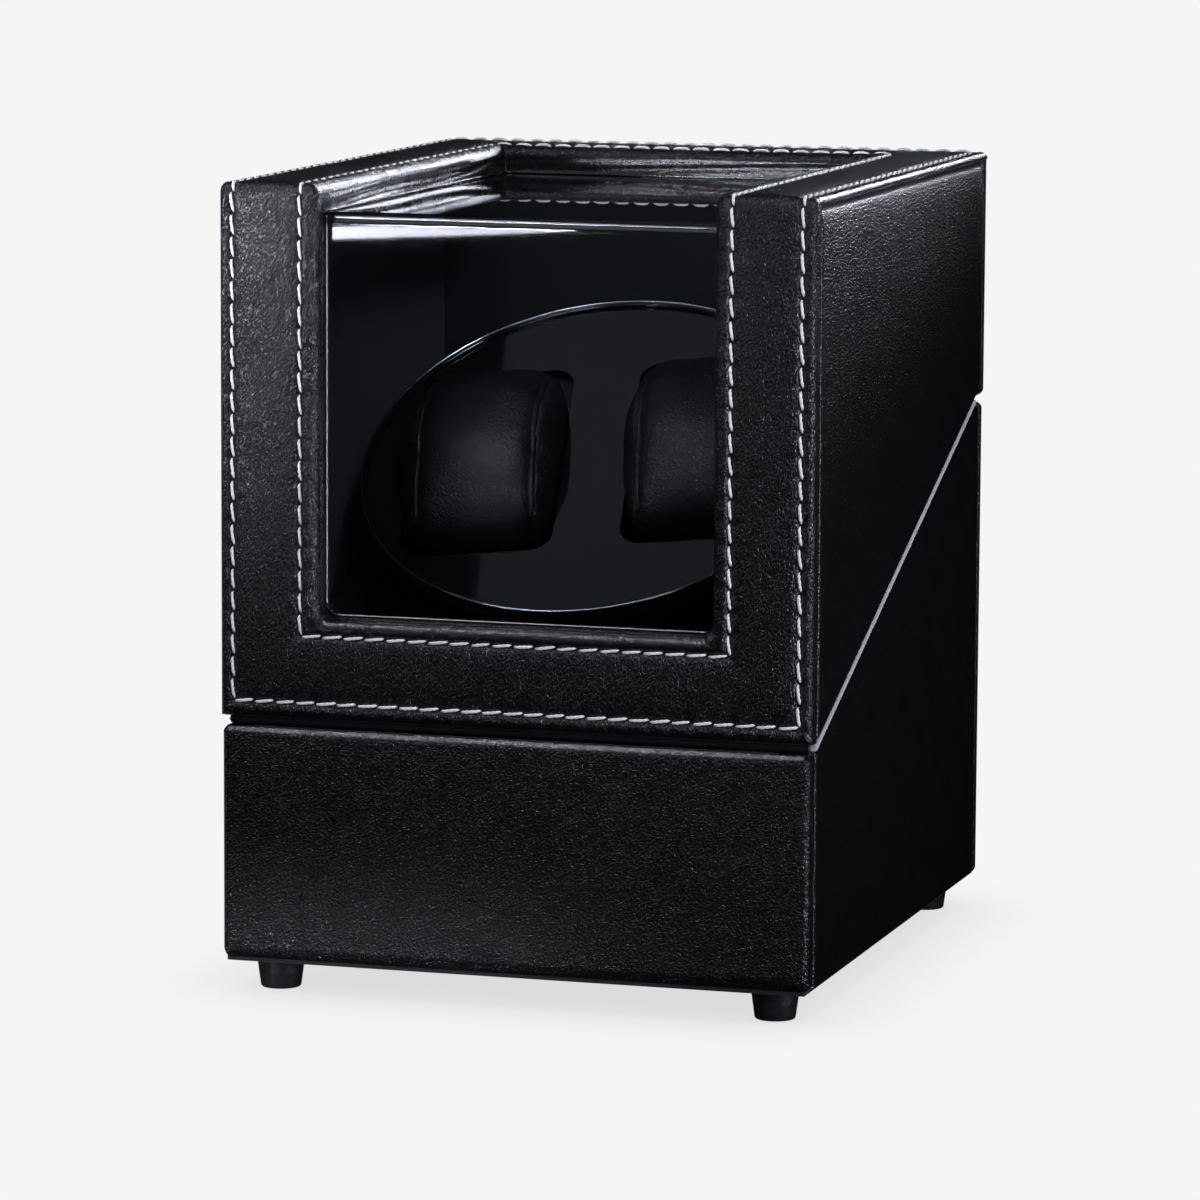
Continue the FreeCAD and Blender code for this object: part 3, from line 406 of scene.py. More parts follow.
def low_map(a):
    """Across the lower rail, which is a little narrower."""
    return np.interp(a, [0, 3.3, 20.7, 25.0, 26.0], [0, 4.0, 20.5, 24.8, 25.8])


def fit_pitch(length):
    return length / max(1, round(length / PITCH))


len_front_o = TOP - BEND - (LOW + 4.0)
len_front_i = TOP - BEND - (LOW + 20.5)
len_fold = BEND * math.pi / 2
SEAMS = {
    "side_o": len_front_o + len_fold + (DEP - OUT_S - BEND),
    "side_i": len_front_i + len_fold + (DEP - IN_S - BEND),
    "low_o": WID - 2 * OUT_S, "low_i": WID - 2 * IN_S,
    "back_o": WID - 2 * OUT_S, "back_i": WID - 2 * IN_S,
}
PIT = {k: fit_pitch(v) for k, v in SEAMS.items()}


def section():
    """Columns of the cover across its width: lateral place, height, relief weight."""
    a, h, w = [], [], []
    for b in (0, 14, 28, 42, 56, 70, 82):
        s = math.radians(b)
        a.append(RO * (1 - math.cos(s)))
        h.append(-RO * (1 - math.sin(s)))
        w.append(math.sin(s) ** 2 * 0.8)
    flat = [1.5, 1.95, 2.35, 2.65, 2.9, 3.1, 3.3, 3.5, 3.7, 3.95, 4.25, 4.7, 5.3, 6.1, 7.2, 8.6, 10.2, 12.0, 13.8, 15.4,
            16.8, 17.9, 18.7, 19.3, 19.75, 20.05, 20.3, 20.5, 20.7, 20.9, 21.1, 21.35, 21.6, 21.85]
    for x in flat:
        a.append(x)
        h.append(0.0)
        w.append(1.0)
    for g in (0, 9, 18, 27, 36, 45, 54, 63, 72, 81, 90):
        s = math.radians(g)
        a.append(22.1 + 2.9 * math.sin(s))
        h.append(-2.3 * (1 - math.cos(s)))
        w.append(math.cos(s))
    for y in (-2.6, -2.9, -3.2, -3.5, -3.8, -4.1, -4.4, -4.7, -5.0, -5.3, -5.6, -5.9, -6.2, -6.5, -6.95):
        a.append(25.0 - 0.07 * math.sin(math.pi * (y + 2.3) / -4.2) + (0.1 if y < -6.4 else 0.0))
        h.append(y)
        w.append(0.0)
    return np.array(a), np.array(h), np.array(w)


SA, SH, SW = section()


def relief(a, so, si, po, pi_, scallop=1.0, puff=0.14):
    """Height of the padded cover: crowned between seams, sunk and puckered along them."""
    a = np.minimum(a, 22.1)
    do, di = a - OUT_S, a - IN_S
    mid = np.clip((a - OUT_S) / (IN_S - OUT_S), 0, 1)
    h = 0.62 * np.sin(math.pi * mid) ** 0.55
    h += puff * np.sin(math.pi * np.clip((a - 0.5) / 2.8, 0, 1))
    h += 0.52 * np.sin(math.pi / 2 * np.clip((a - IN_S) / 1.1, 0, 1))
    for d_, s, p, k in ((do, so, po, scallop), (di, si, pi_, 1.0)):
        g = np.abs((s / p + 0.5) % 1.0 - 0.5) * p
        hole = np.exp(-(g / 0.75) ** 2)
        lift = np.cos(2 * math.pi * s / p)
        h -= 0.46 * np.exp(-(d_ / 0.75) ** 2) + 0.16 * np.exp(-(d_ / 2.0) ** 2)
        h -= 0.42 * hole * np.exp(-(d_ / 0.85) ** 2)
        h -= 0.10 * k * lift * np.exp(-((np.abs(d_) - 1.5) / 0.9) ** 2)
    return h


def flange(kind):
    """Extra columns outside the section: (into the box, from the front, from the top)."""
    return [(1.5, 6.6, 3.2), (1.25, 6.25, 2.95), (0.75, 5.95, 2.75), (0.3, 5.7, 2.55), (0.06, 5.3, 2.3), (0.0, 4.2, 2.05), (0.0, 2.6, 1.85)]


def folds(s, seed):
    """Slack folds that run along the turned-in wall, in millimetres; s is the place along it."""
    s = np.broadcast_to(np.asarray(s, float), SH.shape)
    out = np.zeros_like(SH)
    for k in range(len(SH)):
        if SH[k] > -1.0:
            continue
        n1 = noise.noise(Vector((s[k] * 0.018, seed, 0.5)))
        n2 = noise.noise(Vector((s[k] * 0.030, seed + 4.0, SH[k] * 0.15)))
        n3 = noise.noise(Vector((s[k] * 0.035, seed + 9.0, SH[k] * 0.90)))
        lean = -SH[k] * 0.38 + s[k] * 0.011 + 0.5 * n1
        v = 0.17 * math.sin(2 * math.pi * lean) * (0.8 + 0.6 * n2) + 0.07 * n3
        out[k] = v * min(1.0, (-SH[k] - 1.0) / 1.4) * min(1.0, max(0.0, (6.9 + SH[k]) / 0.8))
    return out


def side_strip():
    """Left stile of the front, over the top edge, and left rail of the top."""
    nf, nb, nt = 184, 8, 250
    fl = flange("side")
    rows_ = []
    rc = RC * smooth01((SA - 21.2) / 3.6)
    zc = LOW + low_map(SA)
    yc = DEP - SA
    for k in range(nf + 1):
        u = k / nf
        z = zc + u * (TOP - BEND - zc)
        hh = SH + SW * relief(SA, z - (LOW + 4.0), z - (LOW + 20.5), PIT["side_o"], PIT["side_i"])
        zz = np.where(SH < -BEND, np.minimum(z, TOP + SH), z)
        x = SA + 0.25 * folds(z, 21.0) * smooth01((z - zc - 4.0) / 6.0) * smooth01((TOP - 9.0 - z) / 6.0)
        tt = z - zc
        on = (rc > 0.05) & (tt < rc)
        ph = np.radians(225 - 45 * np.clip(tt / np.maximum(rc, 1e-6), 0, 1))
        x = np.where(on, SA + rc + rc * np.cos(ph), x)
        zz = np.where(on, zc + rc + rc * np.sin(ph), zz)
        r = [(i, f, min(max(LOW + u * (TOP - BEND - LOW), LOW), TOP - tp)) for i, f, tp in fl]
        r += list(zip(x, -hh, zz))
        rows_.append(r)
    for k in range(1, nb):
        th = math.pi / 2 * k / nb
        s_o, s_i = len_front_o + BEND * th, len_front_i + BEND * th
        hh = SH + SW * relief(SA, np.full_like(SA, s_o), np.full_like(SA, s_i), PIT["side_o"], PIT["side_i"])
        rad = BEND + hh
        y = np.where(rad > 0, BEND - rad * math.cos(th), -SH)
        z = np.where(rad > 0, TOP - BEND + rad * math.sin(th), TOP + SH)
        r = [(i, f, TOP - tp) for i, f, tp in fl]
        r += list(zip(SA, y, z))
        rows_.append(r)
    for k in range(nt + 1):
        u = k / nt
        y = BEND + u * (yc - BEND)
        s_o, s_i = len_front_o + len_fold + y - BEND, len_front_i + len_fold + y - BEND
        hh = SH + SW * relief(SA, s_o, s_i, PIT["side_o"], PIT["side_i"])
        yy = np.where(SH < -BEND, np.maximum(y, -SH), y)
        r = [(i, min(max(BEND + u * (DEP - BEND), f), DEP - 3.0 * f / 5.6), TOP - tp) for i, f, tp in fl]
        wall = folds(y, 37.0) * smooth01((y - 9.0) / 5.0) * smooth01((yc - y) / 6.0)
        r += list(zip(SA + wall, yy, TOP + hh))
        rows_.append(r)
    return rows_


def low_strip():
    n = 214
    rc = RC * smooth01((SA - 21.2) / 3.6)
    z0 = LOW + low_map(SA)
    rows_ = []
    for k in range(n + 1):
        u = k / n
        x = SA + u * (WID - 2 * SA)
        hh = SH + SW * relief(SA, x - OUT_S, x - IN_S, PIT["low_o"], PIT["low_i"], 2.4, 0.30)
        xx, zz = x.copy(), z0.copy()
        for left in (True, False):
            tt = x - SA if left else WID - SA - x
            on = (rc > 0.05) & (tt < rc)
            ph = np.radians(225 + 45 * np.clip(tt / np.maximum(rc, 1e-6), 0, 1))
            nx = SA + rc + rc * np.cos(ph)
            xx = np.where(on, nx if left else WID - nx, xx)
            zz = np.where(on, z0 + rc + rc * np.sin(ph), zz)
        xe = u * WID
        r = [(min(max(xe, 8.0), WID - 8.0), 7.6, LOW), (min(max(xe, 5.0), WID - 5.0), 5.0, LOW), (xe, 2.6, LOW)]
        r += list(zip(xx, -hh, zz))
        rows_.append(r)
    return rows_


def back_strip():
    n = 214
    rows_ = []
    for k in range(n + 1):
        u = k / n
        x = SA + u * (WID - 2 * SA)
        flat = 1.0 - 0.6 * smooth01(np.minimum(x - SA, WID - SA - x) / 12.0)
        hh = SH + SW * flat * relief(SA, x - OUT_S, x - IN_S, PIT["back_o"], PIT["back_i"])
        wall = 0.45 * folds(x, 52.0) * smooth01((x - SA) / 6.0) * smooth01((WID - SA - x) / 6.0)
        r = list(zip(x, DEP - SA - wall, TOP + hh))
        rows_.append(r)
    return rows_


def add_grid(verts, faces, rows_, flip):
    start = len(verts)
    nc = len(rows_[0])
    for r in rows_:
        verts.extend(r)
    faces.extend(grid_faces(len(rows_), nc, start, flip))


verts, faces = [], []
left = side_strip()
add_grid(verts, faces, left, False)
add_grid(verts, faces, [[(WID - x, y, z) for x, y, z in r] for r in left], True)
add_grid(verts, faces, low_strip(), True)
add_grid(verts, faces, back_strip(), False)
va = np.array(verts)
# slack hide: a little slow unevenness on the outer faces only
soft = wander(va, 0.10, 0.045, 4.0) + wander(va, 0.05, 0.13, 9.0)
deep = (va[:, 1] > 3.0) & (va[:, 2] < TOP - 3.0)
front_zone = (va[:, 1] < 1.5) & (va[:, 0] > 2) & (va[:, 0] < WID - 2) & (va[:, 2] > LOW + 2) & (va[:, 2] < TOP - 4)
top_zone = (va[:, 2] > TOP - 1.5) & (va[:, 0] > 2) & (va[:, 0] < WID - 2) & (va[:, 1] > 4) & (va[:, 1] < DEP - 2)
va[front_zone, 1] -= soft[front_zone]
va[top_zone, 2] += soft[top_zone]
lid_cover = finish_mesh("lid_frame_cover", va, faces, M["frame"], "lid", weld=0.02)
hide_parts("lid_wrap_leather", "window_reveal_leather")
# the turned-in walls of the window are a smoother strip of the same hide
lid_cover.data.materials.append(M["reveal"])
lid_cover.data.materials.append(M["edge"])
idx = []
for p in lid_cover.data.polygons:
    c = np.array(p.center) / MM + SHIFT
    inner = 24.6 < c[0] < 125.4 and c[2] > 93.6 and c[1] < 151.4
    rolled = c[2] > TOP - 1.6 and c[1] > 3.0 and (c[0] < 1.35 or c[0] > WID - 1.35)
    lip = LOW + 21.7 < c[2] < LOW + 25.2 and c[1] < 2.6 and 22.5 < c[0] < WID - 22.5
    idx.append(1 if inner and (c[1] > 2.2 and c[2] < TOP - 2.2) else 2 if rolled or lip else 0)
lid_cover.data.polygons.foreach_set("material_index", idx)


# ------------------------------------------------------------------ stitches
def seam_side(off_x, low, back):
    l1 = TOP - BEND - low
    l2 = len_fold
    l3 = back - BEND

    def f(s):
        if s <= l1:
            return np.array([off_x, 0.0, low + s]), np.array([0, 0, 1.0]), np.array([0, -1.0, 0])
        if s <= l1 + l2:
            th = (s - l1) / BEND
            return (np.array([off_x, BEND - BEND * math.cos(th), TOP - BEND + BEND * math.sin(th)]),
                    np.array([0, math.sin(th), math.cos(th)]), np.array([0, -math.cos(th), math.sin(th)]))
        return np.array([off_x, BEND + s - l1 - l2, TOP]), np.array([0, 1.0, 0]), np.array([0, 0, 1.0])
    return f, l1 + l2 + l3


def seam_line(a, b, nrm):
    a, b = np.array(a, float), np.array(b, float)
    ln = np.linalg.norm(b - a)
    t_ = (b - a) / ln
    return (lambda s: (a + t_ * s, t_, np.array(nrm, float))), ln


def sew(lines, seed):
    verts, faces = [], []
    rng = np.random.default_rng(seed)
    for f, ln, slant, proud in lines:
        n = max(1, round(ln / PITCH))
        p = ln / n
        for k in range(n):
            mid = (k + 0.5) * p + rng.normal(0, 0.05)
            half = 0.43 * p + rng.normal(0, 0.05)
            tilt = slant + rng.normal(0, 0.02)
            size = 0.36 + rng.normal(0, 0.012)
            lift = rng.normal(0, 0.02)
            pts = []
            m_ = 13
            for i in range(m_):
                x = -1 + 2 * i / (m_ - 1)
                pos, tg, nr = f(min(max(mid + x * half, 0.0), ln))
                side = np.cross(nr, tg)
                up = -0.08 + lift - 0.85 * abs(x) ** 5 - 0.10 * x * x + proud * max(0.0, nr[2])
                pts.append(pos + side * (x * half * math.tan(tilt)) + nr * up)
            v, fc = tube(pts, lambda i: size * (1.0 - 0.35 * abs(-1 + 2 * i / (m_ - 1)) ** 6), 10, twist=2.4, lobes=0.16)
            base_i = len(verts)
            verts.extend(v)
            faces.extend([tuple(q + base_i for q in fc_) for fc_ in fc])
    return verts, faces


TILT = math.radians(7)
for name, o_, low, back, node in (("stitches_outer", OUT_S, LOW + 4.0, DEP - OUT_S, "stitch_line_outer"),
                                  ("stitches_inner", IN_S, LOW + 20.5, DEP - IN_S, "stitch_line_inner")):
    lines = []
    f, ln = seam_side(o_, low, back)
    lines.append((f, ln, TILT, 0.22))
    f, ln = seam_side(WID - o_, low, back)
    lines.append((f, ln, TILT, 0.22))
    f, ln = seam_line((o_, 0, low), (WID - o_, 0, low), (0, -1, 0))
    lines.append((f, ln, TILT, 0.0))
    f, ln = seam_line((o_, back, TOP), (WID - o_, back, TOP), (0, 0, 1))
    lines.append((f, ln, -TILT, 0.50))
    v, fc = sew(lines, 11 if o_ == OUT_S else 12)
    o = finish_mesh(name, v, fc, M["thread"], "lid", sharp=60)
    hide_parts(node)


# -------------------------------------------------------- lid: side and back
SLOPE = 0.41768


def base_edge(y):
    return np.where(y < 4, 65.67, np.where(y > 168, 134.17, 65.67 + SLOPE * (y - 4)))


def lid_edge(y):
    return np.maximum(LOW, np.where(y > 168, 136.25, 65.67 + 2.08 + SLOPE * (y - 4)))


def spread(a, b, step, fine):
    """Places from a to b: close together at the ends, step apart between."""
    f = np.array(fine)
    n = max(2, int(round((b - a - 2 * f[-1]) / step)))
    mid = np.linspace(a + f[-1], b - f[-1], n + 1)
    return np.concatenate([a + f[:-1], mid, (b - f[:-1])[::-1]])


FINE = [0.0, 0.08, 0.2, 0.38, 0.6, 0.85, 1.15, 1.6, 2.3]


def roll(d, r, depth):
    q = np.clip(d / r, 0, 1)
    return -depth * (1 - np.sqrt(np.clip(1 - (1 - q) ** 2, 0, 1)))


def side_panel(name, ya, yb, zlow, zhigh, x0, crown, low_roll, high_roll, tuck_low, tuck_high, body, node, seed, shoulder=0.0):
    """Padded side covering, left one; it is mirrored for the right."""
    ys = spread(ya, yb, 1.5, FINE)
    ts = spread(0.0, 60.0, 0.85, FINE)        # places of a 60 mm column, stretched to fit
    rows_ = []
    for y in ys:
        zl, zh = float(zlow(np.array(y))), float(zhigh(np.array(y)))
        span = zh - zl
        # keep the rolled edges true to size and stretch only the middle
        t_ = np.where(ts < 3, ts, np.where(ts > 57, span - (60 - ts), 3 + (ts - 3) / 54 * (span - 6)))
        z = zl + t_
        h = np.minimum(roll(np.full_like(z, y - ya), 1.1, 1.3), roll(np.full_like(z, yb - y), 1.1, 1.3))
        h = np.minimum(h, roll(t_, *low_roll))
        h = np.minimum(h, roll(span - t_, *high_roll))
        u, v = (y - ya) / (yb - ya), t_ / span
        h = h + crown * (1 - (2 * u - 1) ** 6) * (1 - (2 * v - 1) ** 6)
        h = h - shoulder * np.exp(-np.maximum(span - t_ - 0.8, 0) / 1.6)
        r = [(x0 + tuck_low, y, zl)] + [(x0 - hh, y, zz) for hh, zz in zip(h, z)] + [(x0 + tuck_high, y, zh)]
        rows_.append(r)
    out = []
    for mirror in (False, True):
        verts, faces = [], []
        rr = rows_ if not mirror else [[(WID - x, y, z) for x, y, z in r] for r in rows_]
        add_grid(verts, faces, rr, mirror)
        va = np.array(verts)
        inside = np.zeros(len(va), bool)
        nc = len(rows_[0])
        idx_ = np.arange(len(va))
        inside[(idx_ % nc > 10) & (idx_ % nc < nc - 11)] = True
        wv = wander(va, 0.09, 0.03, seed) + wander(va, 0.04, 0.11, seed + 3)
        va[inside, 0] += (wv * (1 if mirror else -1))[inside]
        side = "right" if mirror else "left"
        o = finish_mesh("%s_%s" % (name, side), va, faces, M["side"], body, weld=0.004)
        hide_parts(node % side)
        out.append(o)
    return out


side_panel("lid_side_cover", 6.35, DEP - 3.6, lid_edge, lambda y: y * 0 + TOP - 3.0, 0.0, 0.25,
           (1.5, 1.5), (1.3, 1.3), 7.5, 1.8, "lid", "lid_%s_leather", 2.0, 0.55)
side_panel("base_side_cover", 6.35, DEP - 3.6, lambda y: y * 0 + 8.0, base_edge, 0.4, 0.25,
           (1.8, 1.8), (1.3, 1.3), 8.0, 7.5, "base", "base_%s_leather", 6.0)


def corner_profile(x0, y_face, sgn, reach, ro):
    """Plan of one end of a wrap: the side groove and the turn round the corner onto the face.
    sgn is +1 for the front (the box lies towards +Y) and -1 for the back."""
    pts = []
    flat = [(1.5, reach + 0.95), (1.2, reach + 0.62), (0.75, reach + 0.36), (0.3, reach + 0.12), (0.06, reach - 0.3), (0.0, reach - 1.2 if reach > 4 else reach - 0.7)]
    for i, f in flat:
        pts.append((x0 + i, y_face + sgn * f, "s"))
    for b in range(0, 91, 15):
        s = math.radians(b)
        pts.append((b, None, "a"))
    return pts


def wrap_cover(name, x0, y_face, sgn, reach, ro, zrows, step, mat, body, node, seed, crown, hole=None):
    """Covering of the front or back: wraps onto both sides; zrows are (z, inset)."""
    left = corner_profile(x0, y_face, sgn, reach, ro)
    xs = spread(x0 + ro, WID - x0 - ro, step, [0.0, 0.5, 1.2, 2.0])
    rows_ = []
    zmin = min(z for z, e in zrows)
    zmax = max(z for z, e in zrows)
    for z, e in zrows:
        r = []
        for x, y, k in left:
            if k == "s":
                r.append((x + e, y + 0.0, z))
            else:
                s = math.radians(x)
                cx, cy = x0 + ro, y_face + sgn * ro
                if e <= ro:
                    r.append((cx - (ro - e) * math.cos(s), cy - sgn * (ro - e) * math.sin(s), z))
                else:
                    r.append((cx + (e - ro), cy + sgn * (e - ro), z))
        right = [(WID - x, y, zz) for x, y, zz in r][::-1]
        mid = []
        for x in xs[1:-1]:
            q = min(max(x, x0 + max(e, ro)), WID - x0 - max(e, ro))
            v = (z - zmin) / (zmax - zmin)
            u = (x - x0) / (WID - 2 * x0)
            c = crown * (1 - (2 * v - 1) ** 8) * (1 - (2 * u - 1) ** 8) if e < 0.01 else 0.0
            mid.append((q, y_face + sgn * e - sgn * c, z))
        rows_.append(r + mid + right)
    nc = len(rows_[0])
    skip = None
    if hole:
        def skip(i, j):
            a, b = rows_[i][j], rows_[i + 1][j + 1]
            mx, mz = (a[0] + b[0]) / 2, (a[2] + b[2]) / 2
            on_face = abs(a[1] - y_face) < 1.0 and abs(b[1] - y_face) < 1.0
            return on_face and hole[0] < mx < hole[1] and hole[2] < mz < hole[3]
    verts = [p for r in rows_ for p in r]
    faces = grid_faces(len(rows_), nc, 0, sgn < 0, skip=skip)
    va = np.array(verts)
    if crown:
        ok = np.array([abs(p[1] - y_face) < crown + 0.05 and zmin + 4 < p[2] < zmax - 4 and 4 < p[0] < WID - 4 for p in verts])
        wv = wander(va, 0.10, 0.035, seed) + wander(va, 0.05, 0.12, seed + 2)
        va[ok, 1] -= sgn * wv[ok]
    o = finish_mesh(name, va, faces, mat, body, weld=0.004)
    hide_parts(node)
    return o


BEVEL = [(-1.6, 0.0), (-1.45, 0.02), (-1.3, 0.08), (-1.15, 0.17), (-0.95, 0.32), (-0.7, 0.51), (-0.45, 0.70), (-0.28, 0.86),
         (-0.14, 1.05), (-0.05, 1.25), (0.0, 1.5)]


def zlist(lo, hi, r_lo, r_hi, step, tuck, bevel=False):
    """Heights and insets of a face with rolled lower and upper edges."""
    out = [(lo, tuck), (lo, r_lo + 0.6)]
    for b in range(0, 90, 12):
        s = math.radians(b)
        out.append((lo + r_lo * (1 - math.cos(s)), r_lo * (1 - math.sin(s))))
    n = int(round((hi - lo - r_lo - r_hi) / step))
    for i in range(n + 1):
        out.append((lo + r_lo + (hi - lo - r_lo - r_hi) * i / n, 0.0))
    if bevel:
        out += [(hi + dz, e) for dz, e in BEVEL[1:]] + [(hi, 2.4), (hi, tuck)]
    elif r_hi:
        for b in range(12, 91, 12):
            s = math.radians(b)
            out.append((hi - r_hi * (1 - math.sin(s)), r_hi * (1 - math.cos(s))))
        out += [(hi, r_hi), (hi, r_hi + 0.6), (hi, tuck)]
    return out


o = wrap_cover("base_front_cover", 0.4, 0.0, 1, 5.6, 1.6, zlist(8.0, 66.8, 3.3, 1.6, 0.9, 7.4, True), 1.0, M["base"],
           "base", "base_front_leather", 1.0, 0.35)
# its top edge is drawn tight and so smoother
o.data.materials.append(M["edge"])
o.data.polygons.foreach_set("material_index", [1 if (p.center.z / MM > 66.8 - 1.5) else 0 for p in o.data.polygons])
wrap_cover("base_back_cover", 0.4, DEP, -1, 2.85, 1.4, zlist(8.0, 134.17, 2.0, 1.6, 1.2, 6.5), 1.2, M["side"],
           "base", "base_back_leather", 8.0, 0.0, hole=(45.6, 104.4, 40.6, 69.4))
lid_back = zlist(136.25, TOP - RO, 1.6, 0.0, 1.2, 6.5)
wrap_cover("lid_back_cover", 0.0, DEP, -1, 2.85, 1.5, lid_back, 1.2, M["side"],
           "lid", "lid_wrap_leather", 5.0, 0.0)

# ------------------------------------------------- pale edging of the seam
verts, faces = [], []
for mirror in (False, True):
    rows_ = []
    for y in np.concatenate([[5.9, 6.2, 6.6], np.linspace(7, 166, 107), [167.0, 167.5, 167.8]]):
        z0 = 65.67 + SLOPE * (y - 4)
        end = min(1.0, max(0.25, min((y - 5.6) / 0.8, (168.2 - y) / 0.8)))
        wob = 0.06 * noise.noise(Vector((y * 0.21, 3.3, 1.0 if mirror else 7.0)))
        r = []
        for x, zz in ((3.2, 0.1), (1.3, 0.1), (0.55, 0.16), (0.26 - wob, 0.42), (0.16 - wob, 0.85), (0.26 - wob, 1.28), (0.55, 1.55), (1.3, 1.66), (3.2, 1.66)):
            r.append((x, y, z0 + 0.88 + (zz - 0.88) * end))
        rows_.append([(WID - x, yy, z) for x, yy, z in r] if mirror else r)
    start = len(verts)
    nc = len(rows_[0])
    add_grid(verts, faces, rows_, mirror)
    for i in (0, len(rows_) - 1):
        loop = [start + i * nc + k for k in range(nc)]
        faces.append(tuple(loop[::-1] if (i == 0) != mirror else loop))
o = finish_mesh("seam_edging_strips", verts, faces, M["edging"], "base", sharp=50)
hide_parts("seam_edging")

# --------------------------------------- dark strip filling the front gap: a dark filler put where the gap shows only shade
path = [(x, 4.3, 67.9) for x in np.linspace(1.5, WID - 1.5, 50)]
v, f = tube(path, 1.08, 12)
finish_mesh("gap_shade_filler", v, f, M["foot"], "base", sharp=60)

# -------------------------------------------------------- window and its bead
ya, yi = 7.0, 9.5
prof_o = [(ya, 88.0), (ya, 120.0), (ya, 150.0), (ya, 175.0), (ya, 189.0), (ya, 189.9)]
prof_o += [(10 - 3 * math.cos(math.radians(a)), 190 + 3 * math.sin(math.radians(a))) for a in range(0, 91, 5)]
prof_o += [(10.1, 193.0), (11.0, 193.0), (20.0, 193.0), (60.0, 193.0), (105.0, 193.0), (151.6, 193.0)]
prof_i = [(yi, 88.0), (yi, 120.0), (yi, 150.0), (yi, 175.0), (yi, 189.0), (yi, 189.9)]
prof_i += [(10 - 0.5 * math.cos(math.radians(a)), 190 + 0.5 * math.sin(math.radians(a))) for a in range(0, 91, 5)]
prof_i += [(10.1, 190.5), (11.0, 190.5), (20.0, 190.5), (60.0, 190.5), (105.0, 190.5), (151.6, 190.5)]
ring = prof_o + prof_i[::-1]
xs = [19.0, 19.25] + list(np.linspace(24, 126, 18)) + [130.75, 131.0]
verts, faces = [], []
n = len(ring)
for i, x in enumerate(xs):
    cham = 0.25 if i in (0, len(xs) - 1) else 0.0
    for j, (y, z) in enumerate(ring):
        k = n - 1 - j
        yo, zo = ring[k]
        ln = math.hypot(yo - y, zo - z)
        verts.append((x, y + (yo - y) / ln * cham, z + (zo - z) / ln * cham))
faces = grid_faces(len(xs), n, 0, True, True)
half = n // 2
for i in (0, len(xs) - 1):
    for j in range(half - 1):
        q = (i * n + j, i * n + j + 1, i * n + n - 2 - j, i * n + n - 1 - j)
        faces.append(q[::-1] if i else q)
o = finish_mesh("window_sheet", verts, faces, M["window"], "lid", sharp=40)
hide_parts("window_pane")


def bead_path():
    """Round the foot of the window's turned-in walls."""
    off = 0.30
    xa, yf, zl, zt, yb = 25.0 + off, 6.66, 94.0 + off, 193.34, 151.0 - off
    path = []
    left = [(xa, yf, z) for z in np.linspace(zl + 4.0, 189.5, 40)]
    left += arc_pts((xa, 10.0, 190.0), 3.34, 180, 90, 10, lambda c, a, b: (c[0], c[1] + a, c[2] + b))
    left += [(xa, y, zt) for y in np.linspace(11.5, yb - 2.0, 40)]
    corner = arc_pts((xa + 1.6, yb - 1.6, zt), 1.6, 180, 90, 6, lambda c, a, b: (c[0] + a, c[1] + b, c[2]))
    low = arc_pts((xa + 3.4, yf, zl + 3.4), 3.4, 270, 180, 9, lambda c, a, b: (c[0] + a, c[1], c[2] + b))
    half = low + left + corner
    mid_t = [(x, yb, zt) for x in np.linspace(30, 120, 20)]
    mid_b = [(x, yf, zl) for x in np.linspace(120, 30, 20)]
    right = [(WID - x, y, z) for x, y, z in half][::-1]
    return half + mid_t + right + mid_b


v, f = tube(bead_path(), 0.36, 10, closed=True)
finish_mesh("window_bead", v, f, M["bead"], "lid")


# ===================================================================== feet
def lathe(profile, centre, n=48, axis="z"):
    verts, faces = [], []
    m_ = len(profile)
    for i in range(n):
        a = 2 * math.pi * i / n
        for r, h in profile:
            c, s = r * math.cos(a), r * math.sin(a)
            p = (c, s, h) if axis == "z" else (c, h, s)
            verts.append((centre[0] + p[0], centre[1] + p[1], centre[2] + p[2]))
    for i in range(n):
        k = (i + 1) % n
        for j in range(m_ - 1):
            q = (i * m_ + j, k * m_ + j, k * m_ + j + 1, i * m_ + j + 1)
            faces.append(q if axis == "z" else q[::-1])
    return verts, faces


def merge(parts):
    verts, faces = [], []
    for v, f in parts:
        s = len(verts)
        verts.extend(v)
        faces.extend([tuple(q + s for q in x) for x in f])
    return verts, faces


foot = [(1.65, 3.5), (3.0, 3.5), (3.1, 3.4), (3.1, 0.5), (3.2, 0.2), (3.45, 0.02), (4.3, 0.0), (4.7, 0.08), (4.95, 0.3), (5.04, 0.6),
        (5.45, 3.6), (5.50, 3.75), (5.56, 4.4), (5.93, 7.2), (6.0, 7.55), (5.98, 7.9), (5.8, 8.0), (1.65, 8.0), (1.65, 3.5)]
parts = [lathe(foot, (x, y, 0.0)) for x in (11.5, 138.5) for y in (12.0, 164.0)]
v, f = merge(parts)
o = finish_mesh("feet_turned", v, f, M["foot"], "base", weld=0.001, sharp=55)
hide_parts("feet")


# ================================================================= turntable
cen = {k: sum((Vector(v.co) for v in nodes[k].data.vertices), Vector()) / len(nodes[k].data.vertices) for k in ("pillow_left", "pillow_right")}
C = Vector((0.0, -0.020, 0.1286))
N_ = Vector((0.0, -0.5635, 0.826)).normalized()
U_ = (cen["pillow_right"] - cen["pillow_left"])
U_ = (U_ - N_ * U_.dot(N_)).normalized()
V_ = N_.cross(U_).normalized()
LOCAL = Matrix(((U_.x, V_.x, N_.x, C.x), (U_.y, V_.y, N_.y, C.y), (U_.z, V_.z, N_.z, C.z), (0, 0, 0, 1)))


